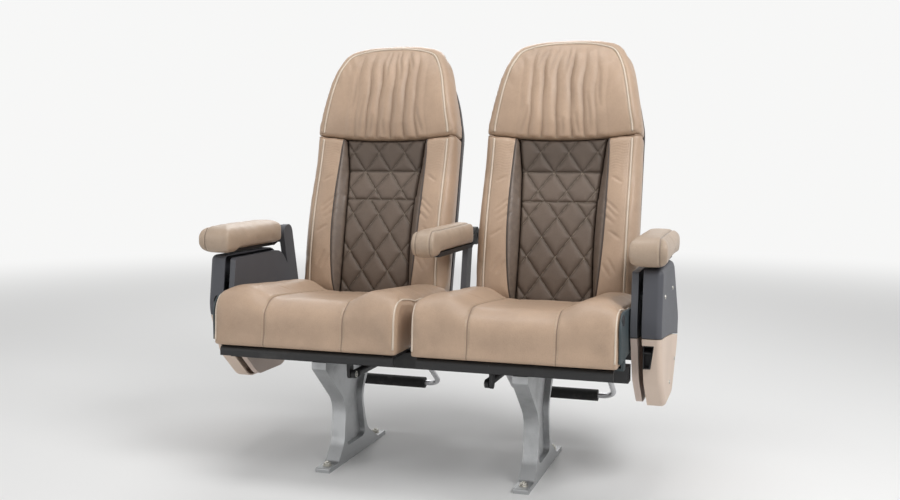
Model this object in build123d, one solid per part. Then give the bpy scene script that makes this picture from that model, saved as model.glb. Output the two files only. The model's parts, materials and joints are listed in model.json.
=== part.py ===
from build123d import *
import math
import os

# Double passenger seat of a coach, in millimetres.
# +Z is up, the passengers face -Y, and +X is the aisle side.
# The origin is on the floor, at the centre of the four floor bolts.

# Overall sizes
seat_spacing = 540.0          # between the centre lines of the two seats
nose_y = -320.0               # front of the seat cushions
recline_y = 190.0             # axis that both backrests turn on
tube_z = 300.0                # underside of the cross tubes, which sets the height of all above
rest_lean = 15.0              # lean of an upright backrest, degrees from vertical
recline_range = 24.0          # how far a backrest turns back, degrees
back_top_u = 833.0            # top of a backrest, up its own slope from the recline axis

# Clearances
moving_gap = 6.0              # between a moving piece and what it passes
seat_gap = 0.3                # between pieces that sit on each other
shaft_gap = 0.05              # radial, in a turning bore

# Floor legs
leg_width = 40.0
leg_web = 10.0                # thickness of the web between the two pockets
leg_rim = 8.0                 # rim left round each pocket
foot_half = 200.0
foot_thick = 12.0
bolt_y = 170.0                # floor bolts, in front of and behind the origin
bolt_r = 5.5

# Cross tubes
tube_side = 40.0
tube_wall = 3.0
front_tube_y = -190.0
rear_tube_y = 90.0

# Centre bracket, between the two backrests
bracket_thick = 16.0
bracket_room = 10.0           # from the bracket to each cushion
bracket_back_room = 37.0      # and to each backrest, which the centre armrest's fork needs

# Seat pans, cushions and their shields
pan_thick = 8.0
pan_side = 12.0               # the pan stands in from the cushion's side by this
pan_lip = 22.0
pan_hole_r = 34.0
nose_height = 124.0           # of a cushion above its pan, at the front
rear_height = 92.0            # and at the rear
bolster_rise = 28.0
panel_half = 108.0            # half the width of a cushion's middle panel
shield_thick = 6.0
shield_inset = 16.0           # the shield stands back from the cushion's outline by this
shield_room = 3.7             # from the shield to the side plate

# Side plates, side consoles and the gap between them
plate_thick = 16.0
console_gap = 12.0
console_thick = 46.0
console_wall = 4.0
console_round = 14.0
console_parting = 2.0         # gap between the upper and the lower cover
console_boss_r = 9.0
flank_inset = 8.0             # the side plate stands back from the console's outline by this

# Recess and recline lever in the front edge of a console
recess_rise = 89.0            # top of the recess above the tubes' underside
recess_height = 60.0
recess_top_width = 28.0
recess_foot_width = 18.0
recess_back_y = -146.0
bezel_depth = 26.0
bezel_wall = 2.5
paddle_drop = 15.0            # from the recess's top to the paddle
paddle_thick = 5.0

# Backrests, in their own plane: u runs up the back, n points to the front
back_bottom_u = 42.0
headrest_height = 302.0       # of the headrest end, above the seam
shoulder_half = 140.0
temple_swell = 17.0           # the headrest's sides are bent outward by this, halfway up
shoulder_drop = 40.0          # from the top's crown to the shoulders
shell_depth = 46.0
shell_wall = 4.0
shell_taper = 10.0
shell_round = 12.0
foot_depth = 64.0             # depth of the bolsters in front of the shell: at the foot,
lumbar_depth = 86.0           # at the lumbar swell,
waist_depth = 74.0            # above the swell,
seam_depth = 72.0             # at the seam
head_depth = 84.0             # and at the headrest's fullest
seam_sag = 16.0               # the seam's middle lies this far below its ends
insert_set_back = 24.0        # the quilted panel lies this far behind the bolsters
insert_top_half = 134.0       # half widths of the quilted panel at the seam,
insert_waist_half = 106.0     # at its waist
insert_foot_half = 112.0      # and at its foot
cushion_room = 10.0           # from a cushion's bolsters to the backrest's foot
beam_half = 180.0             # half the length of the steel beam across a backrest's foot
frame_plate = 8.0
shaft_r = 11.0

# Armrests
arm_rise = 280.0              # top of the armrests above the recline axis
arm_pad_height = 75.0
bar_height = 12.0
outer_pad_width = 94.0
outer_pad_front_y = -222.0
outer_pad_rear_y = 92.0
outer_pivot_y = 135.0
centre_pad_width = 66.0
centre_pad_front_y = -172.0
centre_pad_rear_y = 192.0
centre_pivot_y = 235.0
pivot_drop = 44.0             # from an armrest's top to its pivot
arm_pin_r = 8.0
knuckle_r = 26.0
post_r = 28.0

# Tray tables
tray_width = 370.0
tray_length = 242.0
tray_thick = 14.0
tray_hinge_u = 345.0
tray_pin_r = 4.0
tray_recess = 8.0             # depth of the shell's recess that the tray stows in
tray_side_room = 15.0         # from the tray's side to the recess's
tray_floor_room = 5.0         # from the tray to the recess's floor
hinge_thick = 8.0
catch_r = 9.0
catch_boss = 9.0
catch_thick = 5.0

# Literature pockets
pocket_width = 340.0
pocket_foot_u = 76.0
pocket_mouth_u = 300.0
pocket_foot_depth = 20.0
pocket_mouth_depth = 42.0
pocket_wall = 2.5

# Footrests
footrest_width = 300.0
footrest_tube_r = 8.0
footrest_bar_r = 17.0
footrest_reach = 205.0
footrest_drop = 150.0
footrest_pin_r = 6.0
footrest_hang = 16.0          # from the tubes' underside to a footrest's pivot
hanger_room = 22.0            # from the rear tube to a footrest's pivot

# Recline struts, one under each seat
strut_inset = 90.0            # from the seat's centre line towards the middle
strut_lever = 100.0           # from the recline shaft to the strut's rear pin
strut_r = 11.0
strut_rod_r = 4.0
strut_pin_r = 5.0
strut_eye_r = 11.0
strut_eye_thick = 10.0
strut_front_y = front_tube_y
strut_mouth_y = 10.0
strut_neck = 14.0             # from a strut's front pin to the start of its barrel
strut_eye_play = 1.6          # radial, because the rear pin rises and falls a little
strut_side_room = 3.0         # from an eye's face to the plate beside it
lug_thick = 8.0

# Sizes that follow from those above
cushion_width = seat_spacing - bracket_thick - 2 * bracket_room
back_width = seat_spacing - bracket_thick - 2 * bracket_back_room
tube_top_z = tube_z + tube_side
cushion_base_z = tube_top_z + pan_thick
cushion_nose_z = cushion_base_z + nose_height
cushion_rear_z = cushion_base_z + rear_height
shield_x = (seat_spacing + cushion_width) / 2 + seat_gap
plate_x = shield_x + shield_thick + shield_room
console_x = plate_x + plate_thick + console_gap
recline_z = tube_top_z + 30.0
arm_pad_top_z = recline_z + arm_rise
arm_pad_base_z = arm_pad_top_z - arm_pad_height
arm_pivot_z = arm_pad_top_z - pivot_drop
console_top_z = arm_pad_base_z - moving_gap + 1.0
outer_pad_x = console_x + console_thick / 2 - 10.0
recess_top_z = tube_z + recess_rise
seam_u = back_top_u - headrest_height
taper_u = seam_u + 20.0
shoulder_u = back_top_u - shoulder_drop
recess_floor_n = tray_recess - shell_depth
tray_n = recess_floor_n - tray_floor_room - tray_thick / 2
lean = math.radians(rest_lean)
up_back = Vector(0, math.sin(lean), math.cos(lean))
to_front = Vector(0, -math.cos(lean), math.sin(lean))
front_axis = Axis((0, 0, 0), (0, -math.cos(lean), math.sin(lean)))
back_foot_y = recline_y + back_bottom_u * math.sin(lean) - foot_depth * math.cos(lean)
bolster_rear_y = back_foot_y - cushion_room
cushion_rear_y = bolster_rear_y + insert_set_back - 7.0


def side_sketch(sketch, x, thick):
    """A sketch in (y, z), made a slab from x to x + thick."""
    return extrude(Plane.YZ.offset(x) * sketch, amount=thick)


def polygon(points, radii):
    """A face through the points, with each corner rounded by its own radius."""
    face = make_face(Polyline(*points, close=True))
    for point, radius in zip(points, radii):
        if radius > 0:
            corner = face.vertices().sort_by_distance(Vector(*point))[0]
            face = fillet(corner, radius)
    return face


def rod(start, end, radius):
    """A round bar between two points."""
    line = Vector(*end) - Vector(*start)
    return extrude(Plane(origin=start, z_dir=line) * Circle(radius), amount=line.length)


def link(a, b, radius):
    """A bar outline with round ends, in (y, z), from a to b."""
    run = Vector(*b) - Vector(*a)
    middle = (Vector(*a) + Vector(*b)) * 0.5
    angle = math.degrees(math.atan2(run.Y, run.X))
    return Pos(middle.X, middle.Y) * Rot(0, 0, angle) * SlotCenterToCenter(run.length, 2 * radius)


# Base


def floor_leg(x):
    """A cast leg: broad foot, narrow waist, and a top that carries both cross tubes."""
    front = front_tube_y - tube_side / 2 - 5
    rear = rear_tube_y + tube_side / 2 + 5
    toe = foot_half - 60
    flange_z = tube_z - 18
    waist_z = tube_z * 0.55
    waist_front, waist_rear = -86, 26
    ankle_z = 58
    points = [
        (-foot_half, 0), (foot_half, 0), (foot_half, foot_thick), (toe, foot_thick),
        (62, ankle_z), (waist_rear, waist_z), (rear, flange_z), (rear, tube_z),
        (front, tube_z), (front, flange_z), (waist_front, waist_z), (-100, ankle_z),
        (-toe, foot_thick), (-foot_half, foot_thick),
    ]
    radii = [0, 0, 4, 30, 50, 70, 8, 0, 0, 8, 70, 50, 12, 4]
    outline = polygon(points, radii)
    leg = side_sketch(outline, x - leg_width / 2, leg_width)
    pocket_points = [
        (46, 42), (waist_rear - leg_rim, waist_z), (rear - 34, flange_z),
        (front + 34, flange_z), (waist_front + leg_rim, waist_z), (-84, 42),
    ]
    pocket = polygon(pocket_points, [18, 60, 10, 10, 60, 18])
    depth = (leg_width - leg_web) / 2
    leg -= side_sketch(pocket, x - leg_width / 2, depth)
    leg -= side_sketch(pocket, x + leg_width / 2 - depth, depth)
    for y in (-bolt_y, bolt_y):
        leg -= Pos(x, y, foot_thick / 2) * Cylinder(bolt_r, 4 * foot_thick)
    return leg


def cross_tube(y):
    """A square tube between the two side plates."""
    outside = Rectangle(tube_side, tube_side)
    inside = Rectangle(tube_side - 2 * tube_wall, tube_side - 2 * tube_wall)
    return side_sketch(Pos(y, tube_z + tube_side / 2) * (outside - inside), -plate_x, 2 * plate_x)


def flank_outline():
    """Outline of a side console, in (y, z)."""
    points = [
        (-180, console_top_z), (92, console_top_z), (238, tube_z + 104), (224, tube_z + 30),
        (92, tube_z - 88), (-62, tube_z - 88), (-150, tube_z - 8), (-202, tube_z + 124),
    ]
    return polygon(points, [16, 70, 46, 50, 60, 50, 70, 110])


def below_parting(lift):
    """Everything below the line, sloping to the rear, where the two covers meet, raised by lift."""
    front, rear, deep = -300, 320, tube_z - 200
    front_z, middle_z, rear_z = (tube_z + rise + lift for rise in (114, 86, 30))
    edges = [
        ThreePointArc((front, front_z), (0, middle_z), (rear, rear_z)),
        Line((rear, rear_z), (rear, deep)),
        Line((rear, deep), (front, deep)),
        Line((front, deep), (front, front_z)),
    ]
    return make_face(edges)


def side_plate(side):
    """Plate that closes the tubes' ends and carries the shaft and an outer armrest."""
    post = link((recline_y, recline_z), (outer_pivot_y, arm_pivot_z), post_r)
    outline = offset(flank_outline(), -flank_inset) + post
    plate = side_sketch(outline, plate_x, plate_thick)
    plate -= rod((plate_x - 1, recline_y, recline_z), (plate_x + plate_thick + 1, recline_y, recline_z), shaft_r)
    pin_end = console_x + console_thick - 10
    plate += rod((plate_x, outer_pivot_y, arm_pivot_z), (pin_end, outer_pivot_y, arm_pivot_z), arm_pin_r)
    return plate if side > 0 else mirror(plate, Plane.YZ)


def console_covers(side):
    """Upper and lower moulded covers, open towards the seat, with bosses that meet the side plate."""
    outline = flank_outline()
    body = side_sketch(outline, console_x, console_thick)
    body = fillet(body.faces().sort_by(Axis.X)[-1].edges(), console_round)
    cavity = side_sketch(offset(outline, -console_wall), console_x, console_thick - console_wall)
    cavity = fillet(cavity.faces().sort_by(Axis.X)[-1].edges(), console_round - console_wall)
    shell = body - cavity
    half_gap = console_parting / 2
    covers = []
    upper_bosses = ((-130, tube_z + 200), (50, tube_z + 200))
    lower_bosses = ((10, tube_z - 38), (130, tube_z))
    for upward, bosses in ((1, upper_bosses), (-1, lower_bosses)):
        under_edge = below_parting(upward * half_gap)
        under_flange = below_parting(upward * (half_gap + console_wall))
        band = under_flange - under_edge if upward > 0 else under_edge - under_flange
        whole = outline - under_edge if upward > 0 else outline & under_edge
        cover = shell & side_sketch(whole, console_x, console_thick)
        cover += body & side_sketch(band, console_x, console_thick)
        for y, z in bosses:
            start = (plate_x + plate_thick, y, z)
            end = (console_x + console_thick - console_wall / 2, y, z)
            cover += rod(start, end, console_boss_r)
        covers.append(cover)
    upper, lower = covers
    lower -= recess_block(0, recess_back_y)
    if side > 0:
        return upper, lower
    return mirror(upper, Plane.YZ), mirror(lower, Plane.YZ)


def recess_block(inset, back_y):
    """The recess's space, wide at the top and narrow at the foot, shrunk all round by inset."""
    foot_z = recess_top_z - recess_height
    face = make_face(
        Polyline(
            (console_x + inset, recess_top_z - inset),
            (console_x + recess_top_width - inset, recess_top_z - inset),
            (console_x + recess_foot_width - inset, foot_z + inset),
            (console_x + inset, foot_z + inset),
            close=True,
        )
    )
    return extrude(Plane.XZ.offset(-back_y) * face, amount=120)


def recline_lever(side):
    """Recline lever: a dark bezel that lines the recess, with a finger paddle across its top."""
    front_y = recess_back_y - bezel_depth
    keep = Pos(0, front_y + bezel_depth / 2, recess_top_z) * Box(2000, bezel_depth, 400)
    bezel = recess_block(seat_gap, recess_back_y - seat_gap) & keep
    bezel -= recess_block(seat_gap + bezel_wall, recess_back_y - 6)
    paddle_z = recess_top_z - paddle_drop
    slope = 8
    points = [
        (recess_back_y - 4, paddle_z + paddle_thick), (front_y - 4, paddle_z + paddle_thick - slope),
        (front_y - 3, paddle_z - slope), (recess_back_y - 4, paddle_z - 3),
    ]
    width = recess_top_width - 12
    bezel += side_sketch(polygon(points, [0, 2, 2, 0]), console_x + seat_gap + bezel_wall + 1, width)
    return bezel if side > 0 else mirror(bezel, Plane.YZ)


def recline_shaft():
    """Shaft through both side plates and the centre bracket, which the four back arms turn on."""
    end = plate_x + plate_thick
    return rod((-end, recline_y, recline_z), (end, recline_y, recline_z), shaft_r)


def centre_bracket():
    """Plate between the backrests: it holds the shaft's middle and the centre armrest."""
    foot = (rear_tube_y + 4, tube_top_z + 14)
    lower_arm = link(foot, (recline_y, recline_z), 24)
    upper_arm = link((recline_y, recline_z), (centre_pivot_y, arm_pivot_z), 22)
    pad = Pos(*foot) * Rectangle(40, 28)
    below = Pos(rear_tube_y, tube_top_z - 40) * Rectangle(160, 80)
    bracket = side_sketch(lower_arm + upper_arm + pad - below, -bracket_thick / 2, bracket_thick)
    hole_end = bracket_thick / 2 + 1
    bracket -= rod((-hole_end, recline_y, recline_z), (hole_end, recline_y, recline_z), shaft_r)
    pin_half = centre_pad_width / 2 - 8
    bracket += rod((-pin_half, centre_pivot_y, arm_pivot_z), (pin_half, centre_pivot_y, arm_pivot_z), arm_pin_r)
    return bracket


def seat_pan(x):
    """Pressed pan across both tubes, lipped at the front and the rear, with lightening holes."""
    middle = tube_top_z + pan_thick / 2
    front = nose_y + 24
    rear = bolster_rear_y - 4
    line = FilletPolyline(
        (front, middle - pan_lip), (front, middle), (rear, middle), (rear, middle - pan_lip), radius=10
    )
    width = cushion_width - 2 * pan_side
    pan = side_sketch(trace(line, pan_thick), x - width / 2, width)
    row_y = (front_tube_y + rear_tube_y) / 2
    for step in (-1, 0, 1):
        pan -= Pos(x + step * width / 3.6, row_y, middle) * Cylinder(pan_hole_r, 4 * pan_thick)
    return pan


def bolster_profile():
    """Side view of a cushion's raised sides, in (y, z)."""
    points = [
        (nose_y, cushion_base_z), (nose_y, cushion_nose_z + bolster_rise),
        (bolster_rear_y, cushion_rear_z + bolster_rise), (bolster_rear_y, cushion_base_z),
    ]
    return polygon(points, [16, 62, 26, 0])


def cushion(x):
    """Soft seat cushion: a low middle and a raised bolster on each side."""
    points = [
        (nose_y, cushion_base_z), (nose_y, cushion_nose_z),
        (cushion_rear_y, cushion_rear_z), (cushion_rear_y, cushion_base_z),
    ]
    middle = polygon(points, [16, 55, 14, 0])
    solid = side_sketch(middle, x - panel_half, 2 * panel_half)
    wide = cushion_width / 2 - panel_half
    solid += side_sketch(bolster_profile(), x - cushion_width / 2, wide)
    solid += side_sketch(bolster_profile(), x + panel_half, wide)
    return solid


def seat_shield(side):
    """Moulded shield on the outer side of a cushion, with two lugs that meet the pan's edge."""
    shield = side_sketch(offset(bolster_profile(), -shield_inset), shield_x, shield_thick)
    shield = fillet(shield.faces().sort_by(Axis.X)[-1].edges(), shield_thick / 2)
    lug_height = pan_thick - 2
    middle_z = tube_top_z + pan_thick / 2
    start = shield_x - pan_side
    reach = shield_x + shield_thick / 2 - start
    tab_height = cushion_base_z + shield_inset - middle_z + lug_height / 2 + 5
    for y in (nose_y + 70, rear_tube_y - 10):
        shield += Pos(start + reach / 2, y, middle_z) * Box(reach, 30, lug_height)
        tab_z = middle_z - lug_height / 2 + tab_height / 2
        shield += Pos(shield_x + shield_thick / 2, y, tab_z) * Box(shield_thick, 30, tab_height)
    return shield if side > 0 else mirror(shield, Plane.YZ)


# Backrests


def back_plane(x, n=0.0):
    """Plane of a backrest: local x is X, local y is u, and it faces the front at height n."""
    origin = Vector(x, recline_y, recline_z) + to_front * n
    return Plane(origin=origin, x_dir=(1, 0, 0), z_dir=to_front)


def back_side_plane(x):
    """Plane across a backrest: local x is u and local y is n."""
    return Plane(origin=(x, recline_y, recline_z), x_dir=up_back, z_dir=(1, 0, 0))


def on_back(x, u, n):
    """A point given in a backrest's own directions."""
    return Vector(x, recline_y, recline_z) + up_back * u + to_front * n


def back_outline():
    """Front view of a backrest with its headrest, in (x, u)."""
    half = back_width / 2
    slope = Vector(shoulder_half - half, shoulder_u - taper_u)
    bulge = Vector(slope.Y, -slope.X).normalized() * temple_swell
    temple = Vector(half, taper_u) + slope * 0.5 + bulge
    edges = [
        Line((-half, back_bottom_u), (half, back_bottom_u)),
        Line((half, back_bottom_u), (half, taper_u)),
        Line((half, taper_u), (temple.X, temple.Y)),
        Line((temple.X, temple.Y), (shoulder_half, shoulder_u)),
        ThreePointArc((shoulder_half, shoulder_u), (0, back_top_u), (-shoulder_half, shoulder_u)),
        Line((-shoulder_half, shoulder_u), (-temple.X, temple.Y)),
        Line((-temple.X, temple.Y), (-half, taper_u)),
        Line((-half, taper_u), (-half, back_bottom_u)),
    ]
    face = make_face(edges)
    corners = (
        (half, back_bottom_u, 36), (half, taper_u, 220), (temple.X, temple.Y, 500),
        (shoulder_half, shoulder_u, 80),
    )
    for x, u, radius in corners:
        for mirror_x in (-x, x):
            corner = face.vertices().sort_by_distance(Vector(mirror_x, u))[0]
            face = fillet(corner, radius)
    return face


def front_profile(set_back=0.0):
    """Side view of the pads in front of the shell, in (u, n): lumbar swell, then the headrest."""
    low = (back_bottom_u - 5, foot_depth - set_back)
    lumbar = (back_bottom_u + 158, lumbar_depth - set_back)
    waist = (seam_u - 121, waist_depth - set_back)
    above_waist = (seam_u - 61, (waist_depth + seam_depth) / 2 - 3 - set_back)
    seam = (seam_u, seam_depth - set_back)
    full = (seam_u + headrest_height / 2, head_depth - set_back)
    brow = (back_top_u - 33, head_depth - 26 - set_back)
    crown = (back_top_u - 7, head_depth - 48 - set_back)
    end = (back_top_u + 4, 0)
    edges = [
        Line((low[0], 0), low),
        ThreePointArc(low, lumbar, waist),
        ThreePointArc(waist, above_waist, seam),
        ThreePointArc(seam, full, brow),
        ThreePointArc(brow, crown, end),
        Line(end, (low[0], 0)),
    ]
    return make_face(edges)


def pad_block(x, region, set_back=0.0):
    """The stretch of pad that a region of the front view takes out of the side view."""
    deep = 120.0
    front = extrude(back_plane(x) * region, amount=deep)
    side = extrude(back_side_plane(x - back_width) * front_profile(set_back), amount=2 * back_width)
    return front & side


def below_seam(lift=0.0):
    """Everything below the seam, which sags in its middle, in (x, u), raised by lift."""
    half = back_width
    seam = seam_u + lift
    foot = back_bottom_u - 40
    edges = [
        ThreePointArc((-half / 2, seam), (0, seam - seam_sag), (half / 2, seam)),
        Line((half / 2, seam), (half, seam)),
        Line((half, seam), (half, foot)),
        Line((half, foot), (-half, foot)),
        Line((-half, foot), (-half, seam)),
        Line((-half, seam), (-half / 2, seam)),
    ]
    return make_face(edges)


def insert_region():
    """Front view of the quilted panel, drawn in at its waist, in (x, u)."""
    top, foot = seam_u + 30, back_bottom_u
    waist = foot + (seam_u - foot) * 0.4
    sides = [
        ThreePointArc((side * insert_foot_half, foot), (side * insert_waist_half, waist),
                      (side * insert_top_half, top))
        for side in (-1, 1)
    ]
    ends = [
        Line((insert_top_half, top), (-insert_top_half, top)),
        Line((-insert_foot_half, foot), (insert_foot_half, foot)),
    ]
    return make_face(sides + ends) & below_seam()


def back_pad(x):
    """Leather bolsters either side of the quilted panel."""
    return pad_block(x, (back_outline() & below_seam()) - insert_region())


def back_insert(x):
    """Quilted panel between the bolsters."""
    return pad_block(x, offset(insert_region(), -seat_gap), insert_set_back)


def headrest_pad(x):
    """Headrest end of the backrest, above the seam."""
    return pad_block(x, back_outline() - below_seam(seat_gap))


def back_shell(x):
    """Moulded rear shell: a shallow tray with sloping sides, and a recess that the tray table stows in."""
    outline = back_outline()
    body = extrude(back_plane(x) * outline, amount=-shell_depth, taper=shell_taper)
    body = fillet(body.faces().sort_by(front_axis)[0].edges(), shell_round)
    cavity = extrude(
        back_plane(x) * offset(outline, -shell_wall), amount=-(shell_depth - shell_wall), taper=shell_taper
    )
    cavity = fillet(cavity.faces().sort_by(front_axis)[0].edges(), shell_round - shell_wall)
    pocket = extrude(back_plane(x, -shell_depth - 1) * tray_recess_outline(0), amount=tray_recess + 1)
    wall = extrude(
        back_plane(x, -shell_depth) * tray_recess_outline(shell_wall), amount=tray_recess + shell_wall
    )
    return body - (cavity - wall) - pocket


def tray_recess_outline(grow):
    """Outline of the shell's recess round the stowed tray, in (x, u)."""
    width = tray_width + 2 * (tray_side_room + grow)
    low = tray_hinge_u - 20 - grow
    high = tray_hinge_u + tray_length + 10 + grow
    return Pos(0, (low + high) / 2) * RectangleRounded(width, high - low, 18 + grow)


def strut_pin():
    """Rear pin of a strut at rest, in (y, z): it swings equally to both sides of straight down."""
    swing = math.radians(recline_range / 2)
    return recline_y + strut_lever * math.sin(swing), recline_z - strut_lever * math.cos(swing)


def strut_axis_z():
    """Height of a strut's axis, midway between its rear pin's highest and lowest places."""
    rise = strut_lever * (1 - math.cos(math.radians(recline_range / 2)))
    return strut_pin()[1] - rise / 2


def back_frame(x):
    """Steel beam under the shell and the pads, with arms that turn on the shaft and a strut lever."""
    beam_low = shaft_r + 5
    beam_high = back_bottom_u - seat_gap
    beam_n = -16
    section = Pos((beam_low + beam_high) / 2, beam_n) * Rectangle(beam_high - beam_low, 38)
    beam = extrude(back_side_plane(x - beam_half) * section, amount=2 * beam_half)
    arm = link((0, 0), (back_bottom_u - 8, beam_n), 21)
    arm &= Pos(beam_high - 100, 0) * Rectangle(200, 200)
    strut_x = math.copysign(abs(x) - strut_inset, x)
    beside_eye = strut_eye_thick / 2 + strut_side_room
    lever_start = strut_x + beside_eye if x > 0 else strut_x - beside_eye - frame_plate
    for start in (x - beam_half - frame_plate, x + beam_half, lever_start):
        beam += extrude(back_side_plane(start) * arm, amount=frame_plate)
    pin_y, pin_z = strut_pin()
    beam += side_sketch(link((recline_y, recline_z), (pin_y, pin_z), 12), lever_start, frame_plate)
    reach = x - beam_half - frame_plate - 1
    beam -= rod((reach, recline_y, recline_z), (reach + 2 * beam_half + 20, recline_y, recline_z), shaft_r + shaft_gap)
    pin_end = strut_x - math.copysign(strut_eye_thick / 2 + 2, x)
    pin_start = strut_x + math.copysign(beside_eye + frame_plate / 2, x)
    return beam + rod((pin_start, pin_y, pin_z), (pin_end, pin_y, pin_z), strut_pin_r)


def strut_barrel(x):
    """Barrel of a recline strut, with an eye at its front and a bore for its rod."""
    strut_x = math.copysign(abs(x) - strut_inset, x)
    z = strut_axis_z()
    half = strut_eye_thick / 2
    barrel = rod((strut_x, strut_front_y + strut_neck, z), (strut_x, strut_mouth_y, z), strut_r)
    barrel += rod((strut_x - half, strut_front_y, z), (strut_x + half, strut_front_y, z), strut_eye_r)
    barrel += rod((strut_x, strut_front_y + 6, z), (strut_x, strut_front_y + 16, z), strut_rod_r)
    barrel -= rod((strut_x - half - 1, strut_front_y, z), (strut_x + half + 1, strut_front_y, z),
                  strut_pin_r + shaft_gap)
    bore = rod((strut_x, strut_mouth_y - 150, z), (strut_x, strut_mouth_y + 1, z), strut_rod_r + shaft_gap)
    return barrel - bore


def strut_rod(x):
    """Rod of a recline strut, with the eye that sits on the backrest's lever pin."""
    strut_x = math.copysign(abs(x) - strut_inset, x)
    z = strut_axis_z()
    pin_y, _ = strut_pin()
    half = strut_eye_thick / 2
    piece = rod((strut_x, strut_mouth_y - 60, z), (strut_x, pin_y - 6, z), strut_rod_r)
    piece += rod((strut_x - half, pin_y, z), (strut_x + half, pin_y, z), strut_eye_r)
    eye = strut_pin_r + strut_eye_play
    return piece - rod((strut_x - half - 1, pin_y, z), (strut_x + half + 1, pin_y, z), eye)


def strut_brackets():
    """Lugs under the front tube, each with the pin that holds a strut's barrel."""
    lugs = []
    z = strut_axis_z()
    outline = link((strut_front_y, z), (strut_front_y, tube_z - 14), 12)
    outline += Pos(strut_front_y, tube_z - 10) * Rectangle(2 * (strut_neck - 1), 20)
    beside_eye = strut_eye_thick / 2 + strut_side_room
    for side in (-1, 1):
        strut_x = side * (seat_spacing / 2 - strut_inset)
        start = strut_x + beside_eye if side > 0 else strut_x - beside_eye - lug_thick
        pin_start = strut_x + side * (beside_eye + lug_thick / 2)
        pin_end = strut_x - side * (strut_eye_thick / 2 + 2)
        pin = rod((pin_start, strut_front_y, z), (pin_end, strut_front_y, z), strut_pin_r)
        lugs.append(side_sketch(outline, start, lug_thick) + pin)
    return Compound(lugs)


def tray(x):
    """Tray table, stowed flat in the shell's recess: a barrel along its hinge, a cup recess and a rim."""
    high = tray_hinge_u + tray_length
    half = tray_width / 2
    plane = back_plane(x, tray_n)
    points = [(-half, tray_hinge_u), (half, tray_hinge_u), (half, high), (-half, high)]
    plate = extrude(plane * polygon(points, [0, 0, 24, 24]), amount=tray_thick / 2, both=True)
    left = on_back(x - half, tray_hinge_u, tray_n)
    right = on_back(x + half, tray_hinge_u, tray_n)
    plate += rod(left, right, tray_thick / 2)
    face = back_plane(x, tray_n + tray_thick / 2)
    middle_u = tray_hinge_u + tray_length / 2
    plate -= extrude(face * Pos(-tray_width / 4 - 10, middle_u) * Circle(39), amount=-6)
    plate -= extrude(face * Pos(tray_width / 8 + 12, middle_u) * RectangleRounded(200, 190, 16), amount=-3)
    for end in (-1, 1):
        inner = on_back(x + end * (half - 14), tray_hinge_u, tray_n)
        outer = on_back(x + end * (half + 1), tray_hinge_u, tray_n)
        plate -= rod(inner, outer, tray_pin_r + shaft_gap)
    return plate


def tray_hinges(x):
    """Two lugs on the floor of the shell's recess, each with a pin that the tray turns on."""
    lugs = []
    outline = link((tray_hinge_u, tray_n), (tray_hinge_u, recess_floor_n + 20), 10)
    outline &= Pos(tray_hinge_u, recess_floor_n - 50) * Rectangle(100, 100)
    for end in (-1, 1):
        near = tray_width / 2 + 3
        start = x + near if end > 0 else x - near - hinge_thick
        lug = extrude(back_side_plane(start) * outline, amount=hinge_thick)
        a = on_back(x + end * (near + hinge_thick / 2), tray_hinge_u, tray_n)
        b = on_back(x + end * (tray_width / 2 - 12), tray_hinge_u, tray_n)
        lugs.append(lug + rod(a, b, tray_pin_r))
    return Compound(lugs)


def tray_catch(x):
    """Turn catch above the tray, turned level and out of the tray's way."""
    u = tray_hinge_u + tray_length + 32
    boss = extrude(back_plane(x, -shell_depth) * Pos(0, u) * Circle(catch_r), amount=-catch_boss)
    length = 44
    wing = Pos(length / 2 - catch_r + 1, u) * SlotOverall(length, 2 * catch_r - 2)
    return boss + extrude(back_plane(x, -shell_depth - catch_boss) * wing, amount=-catch_thick)


def pocket_block(x, inset):
    """A wedge that widens towards the pocket's mouth, shrunk by inset, and open past the mouth."""
    foot = pocket_foot_u + inset
    mouth = pocket_mouth_u + (20 if inset else 0)
    back = -shell_depth + (20 if inset else 0)
    slope = (pocket_mouth_depth - pocket_foot_depth) / (pocket_mouth_u - pocket_foot_u)
    foot_n = -shell_depth - pocket_foot_depth + inset
    mouth_n = foot_n - slope * (mouth - foot)
    side = polygon([(foot, back), (foot, foot_n), (mouth, mouth_n), (mouth, back)], [0, 10 - inset, 0, 0])
    half = pocket_width / 2 - inset
    front = polygon([(-half, foot), (half, foot), (half, mouth), (-half, mouth)], [30 - inset, 30 - inset, 0, 0])
    wedge = extrude(back_side_plane(x - half) * side, amount=2 * half)
    return wedge & extrude(back_plane(x, -150) * front, amount=150)


def literature_pocket(x):
    """Pouch on the lower part of the shell, open at its mouth and towards the shell."""
    return pocket_block(x, 0) - pocket_block(x, pocket_wall)


# Armrests


def arm_pad(x, width, front, rear):
    """Soft armrest pad with a round nose."""
    nose = arm_pad_height / 2 - 1
    outline = polygon(
        [(front, arm_pad_base_z), (front, arm_pad_top_z), (rear, arm_pad_top_z), (rear, arm_pad_base_z)],
        [nose, nose, 20, 6],
    )
    pad = side_sketch(outline, x - width / 2, width)
    return pad - side_sketch(bar_space(front, rear), x - width, 2 * width)


def bar_space(front, rear):
    """Groove along the underside of a pad, which the arm's bar fills."""
    start = front + 60
    return Pos((start + rear + 20) / 2, arm_pad_base_z + bar_height / 2) * Rectangle(rear + 20 - start, bar_height)


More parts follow.
